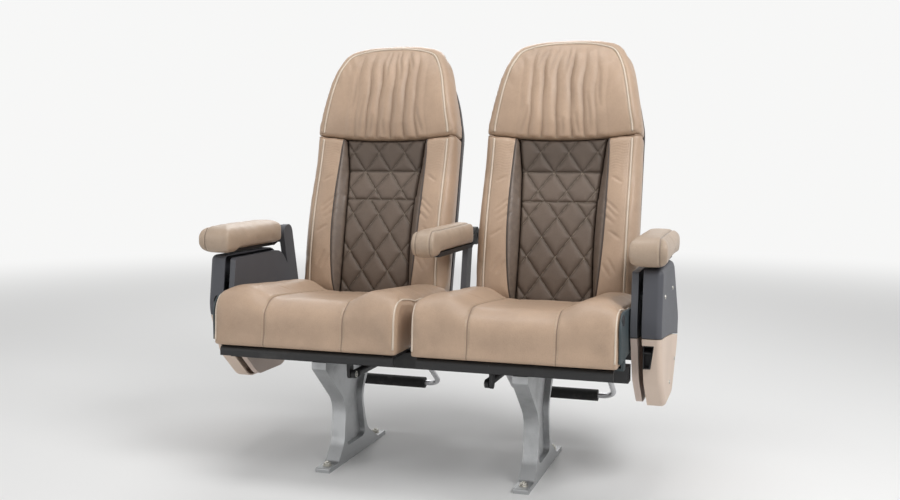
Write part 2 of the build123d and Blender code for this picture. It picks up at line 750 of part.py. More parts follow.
def arm_bar(x, width, front, rear, pivot_y, cheeks):
    """Rigid bar under a pad, ending in knuckles that turn on the armrest pin."""
    start = front + 60 + seat_gap
    outline = Pos((start + rear) / 2, arm_pad_base_z + bar_height / 2) * Rectangle(
        rear - start, bar_height - 2 * seat_gap
    )
    bar = side_sketch(outline, x - width / 2, width)
    knuckle = link((rear - 14, arm_pad_base_z + 14), (pivot_y, arm_pivot_z), 13.5) + Pos(
        pivot_y, arm_pivot_z
    ) * Circle(knuckle_r)
    knuckle -= Pos((rear - 100), arm_pad_base_z - 40) * Rectangle(400, 80 + 2 * seat_gap)
    knuckle -= Pos(rear - 60, arm_pad_base_z + bar_height - seat_gap + 40) * Rectangle(120, 80)
    for low, high in cheeks:
        cheek = side_sketch(knuckle, low, high - low)
        cheek -= rod((low - 1, pivot_y, arm_pivot_z), (high + 1, pivot_y, arm_pivot_z), arm_pin_r + shaft_gap)
        bar += cheek
    return bar


def outer_arm(side):
    """Bar and pad of an outer armrest, on the pin of its side plate."""
    cheeks = [(plate_x + plate_thick + 3, console_x + 32)]
    bar_width = 44.0
    bar_x = console_x + bar_width / 2 - 5
    bar = arm_bar(bar_x, bar_width, outer_pad_front_y, outer_pad_rear_y, outer_pivot_y, cheeks)
    pad = arm_pad(outer_pad_x, outer_pad_width, outer_pad_front_y, outer_pad_rear_y)
    if side > 0:
        return bar, pad
    return mirror(bar, Plane.YZ), mirror(pad, Plane.YZ)


def centre_arm():
    """Bar and pad of the armrest between the seats, forked round the centre bracket."""
    inner = bracket_thick / 2 + 2
    outer = centre_pad_width / 2 - 6
    bar = arm_bar(
        0, 2 * outer, centre_pad_front_y, centre_pad_rear_y, centre_pivot_y, [(-outer, -inner), (inner, outer)]
    )
    pad = arm_pad(0, centre_pad_width, centre_pad_front_y, centre_pad_rear_y)
    return bar, pad


# Footrests


def footrest_pivot():
    """Place of a footrest's pivot, in (y, z)."""
    return rear_tube_y + tube_side / 2 + hanger_room, tube_z - footrest_hang


def footrest_hangers():
    """Lugs under the rear tube, each with the pin that a footrest hangs on."""
    y, z = footrest_pivot()
    lugs = []
    for seat in (-1, 1):
        for end in (-1, 1):
            x = seat * seat_spacing / 2 + end * (footrest_width / 2 + 14)
            under_tube = Pos(y, tube_z - 100) * Rectangle(300, 200)
            outline = link((y, z), (rear_tube_y, tube_z - 9), 12) & under_tube
            outline += Pos(rear_tube_y, tube_z - 8) * Rectangle(30, 16)
            lug = side_sketch(outline, x - lug_thick / 2, lug_thick)
            lugs.append(lug + rod((x, y, z), (x - end * 22, y, z), footrest_pin_r))
    return Compound(lugs)


def footrest(x):
    """Bent tube that hangs behind the seat, with a knuckle at each end."""
    y, z = footrest_pivot()
    half = footrest_width / 2
    low_y, low_z = y + footrest_reach, z - footrest_drop
    path = FilletPolyline(
        (x - half, y, z), (x - half, low_y, low_z), (x + half, low_y, low_z), (x + half, y, z), radius=40
    )
    run = Vector(0, footrest_reach, -footrest_drop)
    tube = sweep(Plane(origin=(x - half, y, z), z_dir=run) * Circle(footrest_tube_r), path=path)
    for end in (-1, 1):
        a = (x + end * half - 8, y, z)
        b = (x + end * half + 8, y, z)
        tube += rod(a, b, 14)
        tube -= rod((a[0] - 1, y, z), (b[0] + 1, y, z), footrest_pin_r + shaft_gap)
    return tube


def footrest_sleeve(x):
    """Rubber sleeve on the straight part of a footrest."""
    y, z = footrest_pivot()
    low_y, low_z = y + footrest_reach, z - footrest_drop
    half = footrest_width / 2 - 50
    sleeve = rod((x - half, low_y, low_z), (x + half, low_y, low_z), footrest_bar_r)
    bore = footrest_tube_r + seat_gap
    return sleeve - rod((x - half - 1, low_y, low_z), (x + half + 1, low_y, low_z), bore)


def build():
    parts = {
        "front_cross_tube": cross_tube(front_tube_y),
        "rear_cross_tube": cross_tube(rear_tube_y),
        "recline_shaft": recline_shaft(),
        "centre_bracket": centre_bracket(),
        "footrest_hangers": footrest_hangers(),
        "strut_brackets": strut_brackets(),
    }
    parts["arm_bar_centre"], parts["arm_pad_centre"] = centre_arm()
    for name, side in (("aisle", 1), ("window", -1)):
        x = side * seat_spacing / 2
        parts["leg_" + name] = floor_leg(x)
        parts["side_plate_" + name] = side_plate(side)
        parts["console_upper_" + name], parts["console_lower_" + name] = console_covers(side)
        parts["recline_lever_" + name] = recline_lever(side)
        parts["seat_pan_" + name] = seat_pan(x)
        parts["cushion_" + name] = cushion(x)
        parts["seat_shield_" + name] = seat_shield(side)
        parts["back_frame_" + name] = back_frame(x)
        parts["strut_barrel_" + name] = strut_barrel(x)
        parts["strut_rod_" + name] = strut_rod(x)
        parts["back_shell_" + name] = back_shell(x)
        parts["back_pad_" + name] = back_pad(x)
        parts["back_insert_" + name] = back_insert(x)
        parts["headrest_pad_" + name] = headrest_pad(x)
        parts["tray_hinges_" + name] = tray_hinges(x)
        parts["literature_pocket_" + name] = literature_pocket(x)
        parts["tray_catch_" + name] = tray_catch(x)
        parts["tray_" + name] = tray(x)
        parts["arm_bar_" + name], parts["arm_pad_" + name] = outer_arm(side)
        parts["footrest_" + name] = footrest(x)
        parts["footrest_sleeve_" + name] = footrest_sleeve(x)
    os.makedirs("parts", exist_ok=True)
    for name, shape in parts.items():
        export_step(shape, f"parts/{name}.step")


build()
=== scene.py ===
# %% [markdown]
# # The double seat of a coach
#
# The frame of this seat is already built: steel legs, tubes, plates, hinges and covers, at their real
# size. This script is about the rest, which is what is seen and touched: gathered and quilted leather,
# piping, stitching, moulded covers, and the wear on all of them. The frame is loaded first and is never
# moved, so each new piece is made where the frame says it goes.

# %% Load the frame
import json
import math
from contextlib import contextmanager

import bmesh
import bpy
import numpy as np
from mathutils import Matrix, Vector
from mathutils.bvhtree import BVHTree


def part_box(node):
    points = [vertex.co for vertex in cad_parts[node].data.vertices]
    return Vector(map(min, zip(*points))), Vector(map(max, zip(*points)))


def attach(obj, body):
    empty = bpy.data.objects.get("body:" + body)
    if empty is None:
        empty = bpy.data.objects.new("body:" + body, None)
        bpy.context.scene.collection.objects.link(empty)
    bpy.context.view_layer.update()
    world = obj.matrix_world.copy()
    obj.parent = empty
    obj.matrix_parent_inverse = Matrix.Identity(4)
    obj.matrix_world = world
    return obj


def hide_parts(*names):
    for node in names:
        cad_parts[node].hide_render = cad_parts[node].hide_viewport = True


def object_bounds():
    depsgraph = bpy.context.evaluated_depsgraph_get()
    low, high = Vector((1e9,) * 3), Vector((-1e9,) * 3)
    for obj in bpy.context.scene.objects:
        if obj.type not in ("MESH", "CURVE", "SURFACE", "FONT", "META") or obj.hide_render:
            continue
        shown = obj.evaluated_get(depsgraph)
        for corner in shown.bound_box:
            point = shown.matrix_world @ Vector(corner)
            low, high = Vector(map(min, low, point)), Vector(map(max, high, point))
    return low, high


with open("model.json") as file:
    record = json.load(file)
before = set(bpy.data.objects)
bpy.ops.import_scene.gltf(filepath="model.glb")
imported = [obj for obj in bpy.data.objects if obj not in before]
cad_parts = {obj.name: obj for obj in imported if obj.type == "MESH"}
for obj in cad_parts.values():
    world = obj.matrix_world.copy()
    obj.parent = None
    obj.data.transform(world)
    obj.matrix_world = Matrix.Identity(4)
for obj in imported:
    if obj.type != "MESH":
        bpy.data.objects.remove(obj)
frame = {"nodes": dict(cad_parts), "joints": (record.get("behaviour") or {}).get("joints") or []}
nodes = frame["nodes"]
joints = {joint["name"]: joint for joint in frame["joints"]}
scene = bpy.context.scene
MM = 0.001
TINY = 1e-9
SEATS = ("aisle", "window")
frame_low, frame_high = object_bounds()
print("frame size", [round(side, 3) for side in frame_high - frame_low])

# %% [markdown]
# ## The studio
#
# A pale floor, soft lamps and a pale world show the form without colouring it. The floor could end in a
# painted backdrop, but the seat is also looked at from behind, so the floor is a wide disc that fades
# into the world's own white with distance instead. The world looks white to the camera and in
# reflections, while it lights the leather at a lower level, so that pale surfaces don't clip.

# %% Nodes from a few words
def srgb(*screen):
    """A colour as it is seen on a screen, made the linear colour that a shader wants."""
    return tuple(((c + 0.055) / 1.055) ** 2.4 if c > 0.04 else c / 12.92 for c in screen) + (1.0,)


def shade(tone, times, plus=0.0):
    """A darker or a lighter version of a colour."""
    return tuple(min(1.0, c * times + plus) for c in tone[:3]) + (1.0,)


class Wire:
    """One output of a node. Python's own operators on wires add Math nodes."""

    def __init__(self, sheet, socket):
        self.sheet = sheet
        self.socket = socket

    def math(self, operation, first, second=0.0):
        return self.sheet.add("Math", {"operation": operation}, {0: first, 1: second})

    def __add__(self, other):
        return self.math("ADD", self, other)

    def __sub__(self, other):
        return self.math("SUBTRACT", self, other)

    def __mul__(self, other):
        return self.math("MULTIPLY", self, other)

    def __truediv__(self, other):
        return self.math("DIVIDE", self, other)

    def __radd__(self, other):
        return self.math("ADD", other, self)

    def __rsub__(self, other):
        return self.math("SUBTRACT", other, self)

    def __rmul__(self, other):
        return self.math("MULTIPLY", other, self)

    def __rtruediv__(self, other):
        return self.math("DIVIDE", other, self)

    def __abs__(self):
        return self.math("ABSOLUTE", self)

    def fraction(self):
        return self.math("FRACT", self)

    def whole(self):
        return self.math("FLOOR", self)

    def most(self, other):
        return self.math("MAXIMUM", self, other)

    def ramp(self, low, high):
        """0 below low, 1 above high and smooth between. With low above high it falls instead."""
        sockets = {"Value": self, "From Min": low, "From Max": high}
        return self.sheet.add("MapRange", {"interpolation_type": "SMOOTHSTEP"}, sockets)


print("half grey on a screen, in a shader", round(srgb(0.5)[0], 3))

# %% [markdown]
# A node tree is filled in through one method that adds any node, and a few short ones for the nodes that
# most finishes need. The plain calls could be written out at each place, but then every finish would be
# twice as long and harder to compare with the next.

# %% Sheets of nodes
class Sheet:
    """A node tree under construction."""

    def __init__(self, tree):
        self.tree = tree
        tree.nodes.clear()

    def add(self, kind, settings=None, sockets=None, output=0):
        """A node of that kind: its settings first, then the values or wires of its sockets."""
        node = self.tree.nodes.new("ShaderNode" + kind)
        for name, value in (settings or {}).items():
            setattr(node, name, value)
        for name, value in (sockets or {}).items():
            if isinstance(value, Wire):
                self.tree.links.new(value.socket, node.inputs[name])
            else:
                node.inputs[name].default_value = value
        return Wire(self, node.outputs[output]) if node.outputs else None

    def mix(self, share, first, second):
        """A colour between two colours."""
        settings = {"data_type": "RGBA"}
        return self.add("Mix", settings, {0: share, 6: first, 7: second}, output=2)

    def place(self):
        """Object coordinates, in metres."""
        return self.add("TexCoord", output="Object")

    def noise(self, vector, scale, detail, roughness=0.5, distortion=0.0):
        sockets = {
            "Vector": vector, "Scale": scale, "Detail": detail, "Roughness": roughness,
            "Distortion": distortion,
        }
        return self.add("TexNoise", None, sockets)

    def cells(self, vector, scale):
        """Distance to the nearest crease between pebbles."""
        settings = {"feature": "DISTANCE_TO_EDGE"}
        return self.add("TexVoronoi", settings, {"Vector": vector, "Scale": scale}, output="Distance")

    def read(self, name, output):
        """An attribute that a mesh carries."""
        return self.add("Attribute", {"attribute_name": name}, output=output)

    def split(self, vector):
        """The three parts of a vector, each as a wire."""
        first = self.add("SeparateXYZ", None, {0: vector})
        return [Wire(self, output) for output in first.socket.node.outputs]

    def turned(self, vector, turn=(0, 0, 0), scale=(1, 1, 1)):
        return self.add("Mapping", None, {"Vector": vector, "Rotation": turn, "Scale": scale})


# %% World and floor
WORLD_LIGHT = 0.36
PALE = (0.93, 0.93, 0.925, 1.0)
FLOOR_RADIUS = 30.0
FADE_FROM, FADE_TO = 2.2, 6.5


def seen_directly(sheet):
    """1 for rays from the camera, a mirror or glass, and 0 for light that falls on things."""
    path = sheet.add("LightPath").socket.node
    names = ("Is Camera Ray", "Is Glossy Ray", "Is Transmission Ray")
    camera, glossy, through = (Wire(sheet, path.outputs[name]) for name in names)
    return camera.most(glossy).most(through)


@contextmanager
def opened(mesh):
    """A mesh opened as a bmesh. What is done to it is written back when the block ends."""
    bm = bmesh.new()
    bm.from_mesh(mesh)
    yield bm
    bm.to_mesh(mesh)
    bm.free()


world = bpy.data.worlds.new("studio")
world.use_nodes = True
scene.world = world
sky = Sheet(world.node_tree)
direct = seen_directly(sky)
lit = sky.add("Background", None, {"Color": (1, 1, 1, 1), "Strength": WORLD_LIGHT})
shown = sky.add("Background", None, {"Color": PALE, "Strength": 1.0})
sky.add("OutputWorld", None, {"Surface": sky.add("MixShader", None, {0: direct, 1: lit, 2: shown})})

floor_mesh = bpy.data.meshes.new("studio_floor")
with opened(floor_mesh) as bm:
    bmesh.ops.create_circle(bm, cap_ends=True, segments=96, radius=FLOOR_RADIUS)
floor = bpy.data.objects.new("studio_floor", floor_mesh)
scene.collection.objects.link(floor)
floor_finish = bpy.data.materials.new("studio floor")
floor_finish.use_nodes = True
ground = Sheet(floor_finish.node_tree)
far = ground.add("VectorMath", {"operation": "LENGTH"}, {0: ground.place()}, output="Value")
matte = ground.add("BsdfDiffuse", None, {"Color": (0.85, 0.85, 0.845, 1.0)})
glow = ground.add("Emission", None, {"Color": PALE})
surface = ground.add("MixShader", None, {0: far.ramp(FADE_FROM, FADE_TO), 1: matte, 2: glow})
ground.add("OutputMaterial", None, {"Surface": surface})
floor_mesh.materials.append(floor_finish)
print("floor radius", FLOOR_RADIUS, "world", WORLD_LIGHT)

# %% [markdown]
# Four rectangular lamps stand well away from the seat: a key lamp in front on the aisle side, a wide one
# overhead, a weak one that fills the shadows, and one behind that draws the headrests' edges. Small lamps
# would be simpler, but leather shows its folds best in soft light.

# %% Lamps
def softbox(name, place, watts, width, height):
    """A rectangular lamp that faces the middle of the seat."""
    light = bpy.data.lights.new(name, "AREA")
    light.shape = "RECTANGLE"
    light.energy = watts
    light.size = width
    light.size_y = height
    lamp = bpy.data.objects.new(name, light)
    lamp.location = place
    aim = (frame_low + frame_high) / 2 - Vector(place)
    lamp.rotation_euler = aim.to_track_quat("-Z", "Y").to_euler()
    scene.collection.objects.link(lamp)


softbox("key_lamp", (2.6, -1.5, 3.0), 74.0, 1.8, 1.4)
softbox("top_lamp", (0.0, -0.2, 3.6), 34.0, 2.4, 1.0)
softbox("fill_lamp", (-3.2, -2.6, 1.7), 20.0, 2.0, 2.0)
softbox("back_lamp", (-1.2, 3.2, 2.8), 42.0, 2.6, 1.4)
print("lamps", len(bpy.data.lights))

# %% [markdown]
# ## The camera
#
# The photograph was taken from the aisle one row ahead, a little above the armrests, looking back. The
# camera stands at that angle and that distance, so the perspective is the photograph's. Only the lens is
# longer, so that the seat fills the frame.

# %% Camera
VIEW_FROM_FRONT = math.radians(18.0)
VIEW_DISTANCE = 2.75
VIEW_RISE = 0.26
LENS = 40.0
AIM_DROP = 0.012

middle = (frame_low + frame_high) / 2 - Vector((0, 0, AIM_DROP))
camera_data = bpy.data.cameras.new("camera")
camera_data.lens = LENS
camera_data.sensor_width = 36.0
camera = bpy.data.objects.new("camera", camera_data)
away = Vector((math.sin(VIEW_FROM_FRONT), -math.cos(VIEW_FROM_FRONT), 0.0))
camera.location = middle + away * VIEW_DISTANCE + Vector((0, 0, VIEW_RISE))
camera.rotation_euler = (middle - camera.location).to_track_quat("-Z", "Y").to_euler()
scene.collection.objects.link(camera)
scene.camera = camera
scene.view_settings.view_transform = "Standard"
print("camera at", [round(value, 2) for value in camera.location])

# %% [markdown]
# ## Finishes
#
# A finish is a Principled shader whose colour, roughness and bump come from a few patterns laid over
# each other: broad patches of tone, a fine grain, and marks such as stitches or scuffs. The patterns
# read Object coordinates, which are real metres here, so a 2 mm grain is 2 mm on every piece.

# %% A finish to start from
class Finish(Sheet):
    """A material with a Principled shader, whose constants are set on its own sockets."""

    def __init__(self, name, **constants):
        self.material = bpy.data.materials.new(name)
        self.material.use_nodes = True
        super().__init__(self.material.node_tree)
        self.shader = self.add("BsdfPrincipled").socket.node
        for socket, value in constants.items():
            self.shader.inputs[socket.replace("_", " ")].default_value = value
        self.add("OutputMaterial", None, {"Surface": Wire(self, self.shader.outputs[0])})

    def feed(self, **wires):
        for socket, wire in wires.items():
            self.tree.links.new(wire.socket, self.shader.inputs[socket.replace("_", " ")])

    def raise_by(self, height, distance, strength):
        """Bump from a height of 0 to 1 that stands for that distance in metres."""
        sockets = {"Height": height, "Distance": distance, "Strength": strength}
        self.feed(Normal=self.add("Bump", None, sockets))


# %% [markdown]
# ### Leather
#
# Upholstery leather has pebbles about 2 mm across with fine creases between them, broad patches where the
# hide took the dye differently, and a satin coat that is a little glossier on the pebbles' tops. The
# stitches could be modelled one by one, but there are thousands, so they are drawn by the shader. Each
# leather piece carries an attribute called seam, with the distance to its nearest line of stitches, the
# place along that line, and the distance to the edge where a second leather begins. Scales such as the
# number of pebbles are counts in a metre.
# The colour also carries painted shade: each seam's groove is darkened.

# %% Leather
NO_SEAM = 1.0
STITCH_PITCH = 5.5 * MM
STITCH_OFFSET = 4.5 * MM
THREAD = srgb(0.72, 0.64, 0.55)
PATCHES, MOTTLE, PEBBLES, FOLDS = 7.0, 55.0, 430.0, 34.0
PEBBLE_SWAY = 2.2 * MM


def leather(name, tone, second_tone=None, creases=1.0):
    """Grained leather with stitches on both sides of each seam, and a second leather past an edge."""
    skin = Finish(name, Specular_IOR_Level=0.5, Coat_Weight=0.16, Coat_Roughness=0.30)
    place = skin.place()
    patches = skin.noise(place, PATCHES, 4.0, 0.55)
    mottle = skin.noise(place, MOTTLE, 3.0, 0.6)
    wander = skin.noise(place, 160.0, 2.0)
    sway = skin.add("CombineXYZ", None, {0: wander, 1: wander, 2: wander})
    bent = skin.add("VectorMath", {"operation": "MULTIPLY_ADD"}, {0: sway, 1: (PEBBLE_SWAY,) * 3, 2: place})
    pebble_top = skin.cells(bent, PEBBLES).ramp(0.0, 0.22)
    folds = skin.noise(skin.turned(place, scale=(1.0, 1.0, 0.35)), FOLDS, 5.0, 0.62, 1.4)
    fold_lines = abs(folds - 0.5).ramp(0.0, 0.035)

    seam_x, seam_y, edge = skin.split(skin.read("seam", "Vector"))
    away = abs(seam_x)
    groove = away.ramp(2.2 * MM, 0.4 * MM)
    row = abs(away - STITCH_OFFSET).ramp(1.1 * MM, 0.4 * MM)
    dash = abs((seam_y / STITCH_PITCH).fraction() - 0.5).ramp(0.40, 0.30)
    thread = row * dash
    pull = (row * (1.0 - dash)).most(groove)

    dark = shade(tone, 0.89)
    light = shade(tone, 1.07)
    colour = skin.mix((patches * 0.8 + mottle * 0.2).ramp(0.30, 0.70), dark, light)
    if second_tone:
        second_light = shade(second_tone, 1.25)
        second = skin.mix(mottle.ramp(0.35, 0.65), second_tone, second_light)
        colour = skin.mix(edge.ramp(0.6 * MM, -0.6 * MM), colour, second)
    deep = shade(tone, 0.38)
    colour = skin.mix((1.0 - pebble_top) * 0.16 + (1.0 - fold_lines) * (0.03 * creases), colour, deep)
    # Painted shade from a mesh attribute: the headrest's pleat valleys are darkened.
    painted_shade = skin.read("painted_shade", "Fac")
    colour = skin.mix(painted_shade * 0.58, colour, shade(tone, 0.45))
    # Painted shade: the groove along each seam is darkened.
    colour = skin.mix(groove * 0.80, colour, deep)
    colour = skin.mix(thread * 0.85, colour, THREAD)
    skin.feed(Base_Color=colour, Roughness=0.43 + mottle * 0.12 - pebble_top * 0.06)
    height = pebble_top * 0.16 + fold_lines * (0.06 * creases) + mottle * 0.12 - pull + thread * 0.55
    skin.raise_by(height, 0.9 * MM, 0.75)
    return skin.material


BEIGE = srgb(0.735, 0.628, 0.535)
TAUPE = srgb(0.415, 0.362, 0.322)
seat_leather = leather("seat leather", BEIGE)
bolster_leather = leather("bolster leather", BEIGE, second_tone=TAUPE)
pad_leather = leather("armrest leather", srgb(0.715, 0.632, 0.553), creases=0.6)
# Painted highlight: the welts' pale tone stands for light reflected along the edges they outline.
welt_highlight_leather = leather("welt leather", srgb(0.86, 0.80, 0.73), creases=0.3)
dark_welt_leather = leather("dark welt leather", srgb(0.27, 0.225, 0.195), creases=0.3)
print("materials so far", len(bpy.data.materials))

# %% [markdown]
# ### Quilted leather
#
# The middle of each backrest is a softer, darker leather, quilted in tall diamonds over a thin foam. The
# pillows are modelled further on. The shader adds what is too fine for the mesh: the needle holes and
# the thread in the bottom of each channel, and a sheen on the crowns, which are a little less rough. It
# also
# paints light and shade into the colour: the crowns lighter as a painted highlight, the channels darker
# as painted shade, and the short length under the headrest darker as the headrest's painted shadow. An
# attribute on the mesh says where that length is.

# %% Quilted leather
def quilt_leather(name, tone):
    """Taupe leather whose channels carry a line of small stitches."""
    skin = Finish(name, Specular_IOR_Level=0.38)
    place = skin.place()
    patches = skin.noise(place, 9.0, 4.0, 0.55)
    mottle = skin.noise(place, 70.0, 3.0, 0.6)
    pebbles = skin.cells(place, 520.0).ramp(0.0, 0.22)
    seam_x, seam_y, crown = skin.split(skin.read("seam", "Vector"))
    away = abs(seam_x)
    groove = away.ramp(4.0 * MM, 1.2 * MM)
    dash = abs((seam_y / (STITCH_PITCH * 0.75)).fraction() - 0.5).ramp(0.42, 0.30)
    thread = away.ramp(1.3 * MM, 0.7 * MM) * dash
    dark = shade(tone, 0.78)
    light = shade(tone, 1.22)
    deep = shade(tone, 0.30)
    # Painted highlight: the crowns of the pillows are mixed lighter, together with random patches.
    colour = skin.mix((patches * 0.5 + mottle * 0.2 + crown * 0.3).ramp(0.25, 0.75), dark, light)
    colour = skin.mix((1.0 - pebbles) * 0.25, colour, deep)
    # Painted shade: the channels round the stitch lines are darkened.
    colour = skin.mix(groove * 0.36, colour, deep)
    colour = skin.mix(thread * 0.75, colour, srgb(0.62, 0.56, 0.49))
    # Painted shadow of the headrest: the length under it is darkened, where the mesh attribute marks it.
    headrest_shadow = skin.read("painted_shade", "Fac")
    colour = skin.mix(headrest_shadow * 0.40, colour, shade(tone, 0.35))
    skin.feed(Base_Color=colour, Roughness=0.58 + mottle * 0.14 - crown * 0.10)
    skin.raise_by(pebbles * 0.16 + mottle * 0.2 - groove * 0.6 + thread * 0.5, 0.8 * MM, 0.7)
    return skin.material


quilted_leather = quilt_leather("quilted leather", TAUPE)
print("nodes in the quilted leather", len(quilted_leather.node_tree.nodes))

# %% [markdown]
# ### Moulded plastic
#
# Covers and shells are moulded with a fine spark texture, which hides scratches. Rubbing polishes the
# texture away, so handled places shine a little more, and shoes and bags leave thin scuffs low down. A
# noise stretched in one direction gives scuffs that all run the way things slide past.

# %% Moulded plastic
SPARK = 900.0


def moulded(name, tone, scuffs, gloss=0.5):
    """Spark-textured plastic with faint patches, thin scuffs and rubbed edges."""
    skin = Finish(name, Specular_IOR_Level=0.5)
    place = skin.place()
    broad = skin.noise(place, 5.0, 3.0, 0.5)
    spark = skin.noise(place, SPARK, 2.0, 0.7)
    streak = skin.noise(skin.turned(place, turn=(0.12, 0.0, 0.0), scale=(60.0, 3.0, 40.0)), 1.6, 4.0, 0.65)
    marks = streak.ramp(0.66, 0.74) * scuffs
    low = skin.split(place)[2].ramp(0.62, 0.18)
    dark = shade(tone, 0.90)
    rubbed = shade(tone, 0.6, 0.10)
    colour = skin.mix(broad.ramp(0.3, 0.7), tone, dark)
    colour = skin.mix(marks * (0.25 + low * 0.5), colour, rubbed)
    skin.feed(Base_Color=colour, Roughness=(0.72 - 0.35 * gloss) + broad * 0.12 - marks * 0.10)
    skin.raise_by(spark * 0.7 + streak * 0.15, 0.25 * MM, 0.55)
    return skin.material


cream_plastic = moulded("cream cover plastic", srgb(0.86, 0.78, 0.715), scuffs=0.6)
# Painted shade: the upper cover's charcoal stands for the armrest pad's shadow on the console.
shadow_charcoal_plastic = moulded("charcoal cover plastic", srgb(0.30, 0.305, 0.33), scuffs=0.5, gloss=0.7)
shell_plastic = moulded("rear shell plastic", srgb(0.355, 0.345, 0.345), scuffs=0.7)
shield_plastic = moulded("shield plastic", srgb(0.235, 0.275, 0.29), scuffs=0.4, gloss=0.7)
dark_plastic = moulded("dark plastic", srgb(0.11, 0.11, 0.12), scuffs=0.4, gloss=0.6)
tray_plastic = moulded("tray plastic", srgb(0.55, 0.52, 0.50), scuffs=0.5)
print("materials so far", len(bpy.data.materials))

# %% [markdown]
# The plate beside each console is trimmed in the same two colours as the console's covers, and they meet
# at the same height. The darker colour above is painted shade: it stands for the armrest pad's shadow on
# the cream plastic. The line where the covers part is a shallow arc, so a second-degree curve of the
# distance along the seat gives its height.

# %% Two-tone trim
PARTING_Z, PARTING_SLOPE, PARTING_BEND = 386 * MM, 0.1328, 0.1317


def two_tone(name, shadowed_tone, lower_tone):
    """Plastic trim that changes colour where the console's covers part, darker above as painted shade."""
    skin = Finish(name, Specular_IOR_Level=0.5)
    place = skin.place()
    _, along, height = skin.split(place)
    parting = PARTING_Z - along * PARTING_SLOPE - along * along * PARTING_BEND
    broad = skin.noise(place, 6.0, 3.0, 0.5)
    spark = skin.noise(place, SPARK, 2.0, 0.7)
    line = abs(height - parting).ramp(2.2 * MM, 1.2 * MM)
    upper = skin.mix(broad.ramp(0.3, 0.7), shadowed_tone, shade(shadowed_tone, 0.88))
    lower = skin.mix(broad.ramp(0.3, 0.7), lower_tone, shade(lower_tone, 0.92))
    colour = skin.mix((height - parting).ramp(-0.3 * MM, 0.3 * MM), lower, upper)
    colour = skin.mix(line * 0.85, colour, srgb(0.08, 0.08, 0.08))
    skin.feed(Base_Color=colour, Roughness=0.42 + broad * 0.14)
    skin.raise_by(spark * 0.6 - line, 0.3 * MM, 0.6)
    return skin.material


# Painted shade: the plate's darker colour above the parting stands for the armrest pad's shadow.
shadow_side_trim = two_tone("side trim", srgb(0.33, 0.335, 0.355), srgb(0.80, 0.725, 0.68))
print("nodes in the side trim", len(shadow_side_trim.node_tree.nodes))

# %% [markdown]
# ### Metal and rubber
#
# The frame is powder-coated steel, whose coat is slightly wrinkled like the skin of an orange. The legs
# are cast aluminium with a sandy skin. The shaft and the struts' rods are ground bright, with fine marks
# that all run one way, and the footrests' sleeves are rubber that has gone grey where soles rub it.

# %% Metal and rubber
def powder_coat(name, tone):
    """Wrinkled paint with dust on it and a few chips."""
    skin = Finish(name, Specular_IOR_Level=0.5)
    place = skin.place()
    orange_peel = skin.noise(place, 420.0, 2.0, 0.5)
    dust = skin.noise(place, 11.0, 5.0, 0.6)
    chips = skin.noise(place, 90.0, 2.0, 0.5).ramp(0.735, 0.765)
    grey = srgb(0.36, 0.35, 0.34)
    colour = skin.mix(dust.ramp(0.52, 0.80) * 0.35, tone, grey)
    colour = skin.mix(chips * 0.8, colour, grey)
    skin.feed(Base_Color=colour, Roughness=0.40 + dust * 0.25)
    skin.raise_by(orange_peel * 0.6 - chips * 0.5, 0.3 * MM, 0.6)
    return skin.material


def cast_metal(name, tone):
    """A sandy skin, stained in places and darker near the floor."""
    skin = Finish(name, Metallic=1.0)
    place = skin.place()
    sand = skin.noise(place, 620.0, 3.0, 0.7)
    stains = skin.noise(place, 14.0, 5.0, 0.6)
    dark = shade(tone, 0.72)
    low = skin.split(place)[2].ramp(0.10, 0.0)
    colour = skin.mix((stains.ramp(0.40, 0.72) * 0.6).most(low * 0.5), tone, dark)
    skin.feed(Base_Color=colour, Roughness=0.40 + stains * 0.22 + sand * 0.08)
    skin.raise_by(sand, 0.35 * MM, 0.6)
    return skin.material


def bright_metal(name, tone, along=(1.0, 260.0, 260.0)):
    """Ground metal with fine marks, drawn out along the axis whose scale is least."""
    skin = Finish(name, Metallic=1.0)
    place = skin.place()
    lines = skin.noise(skin.turned(place, scale=along), 4.0, 3.0, 0.6)
    smears = skin.noise(place, 18.0, 4.0, 0.6)
    dark = shade(tone, 0.85)
    skin.feed(Base_Color=skin.mix(smears.ramp(0.35, 0.7), tone, dark), Roughness=0.20 + smears * 0.18)
    skin.raise_by(lines, 0.06 * MM, 0.4)
    return skin.material


def rubber(name, tone):
    """Gritty rubber, rubbed grey in patches."""
    skin = Finish(name, Specular_IOR_Level=0.3)
    place = skin.place()
    worn = skin.noise(place, 26.0, 5.0, 0.65)
    grit = skin.noise(place, 500.0, 2.0, 0.6)
    grey = shade(tone, 2.2, 0.03)
    skin.feed(Base_Color=skin.mix(worn.ramp(0.48, 0.75) * 0.7, tone, grey), Roughness=0.62 + worn * 0.2)
    skin.raise_by(grit, 0.25 * MM, 0.6)
    return skin.material


black_steel = powder_coat("black powder coat", srgb(0.125, 0.125, 0.130))
grey_steel = powder_coat("grey powder coat", srgb(0.345, 0.350, 0.365))
cast_aluminium = cast_metal("cast aluminium", srgb(0.74, 0.745, 0.75))
bright_steel = bright_metal("bright steel", srgb(0.80, 0.80, 0.81))
zinc = bright_metal("zinc plate", srgb(0.72, 0.71, 0.68), along=(120.0, 120.0, 120.0))
sole_rubber = rubber("sleeve rubber", srgb(0.13, 0.13, 0.13))
print("materials so far", len(bpy.data.materials))

# %% [markdown]
# ### Woven cloth
#
# The pocket behind each backrest is a stout woven cloth. Round ridges along both thread directions, which
# pass over each other in turn, make a plain weave, and a noise on the threads' places keeps it from
# looking printed. The cloth lies in the leaning plane of the backrest, so the pattern is turned by the
# same angle.

# %% Woven cloth
REST_LEAN = math.radians(15.0)
THREAD_WIDTH = 1.8 * MM


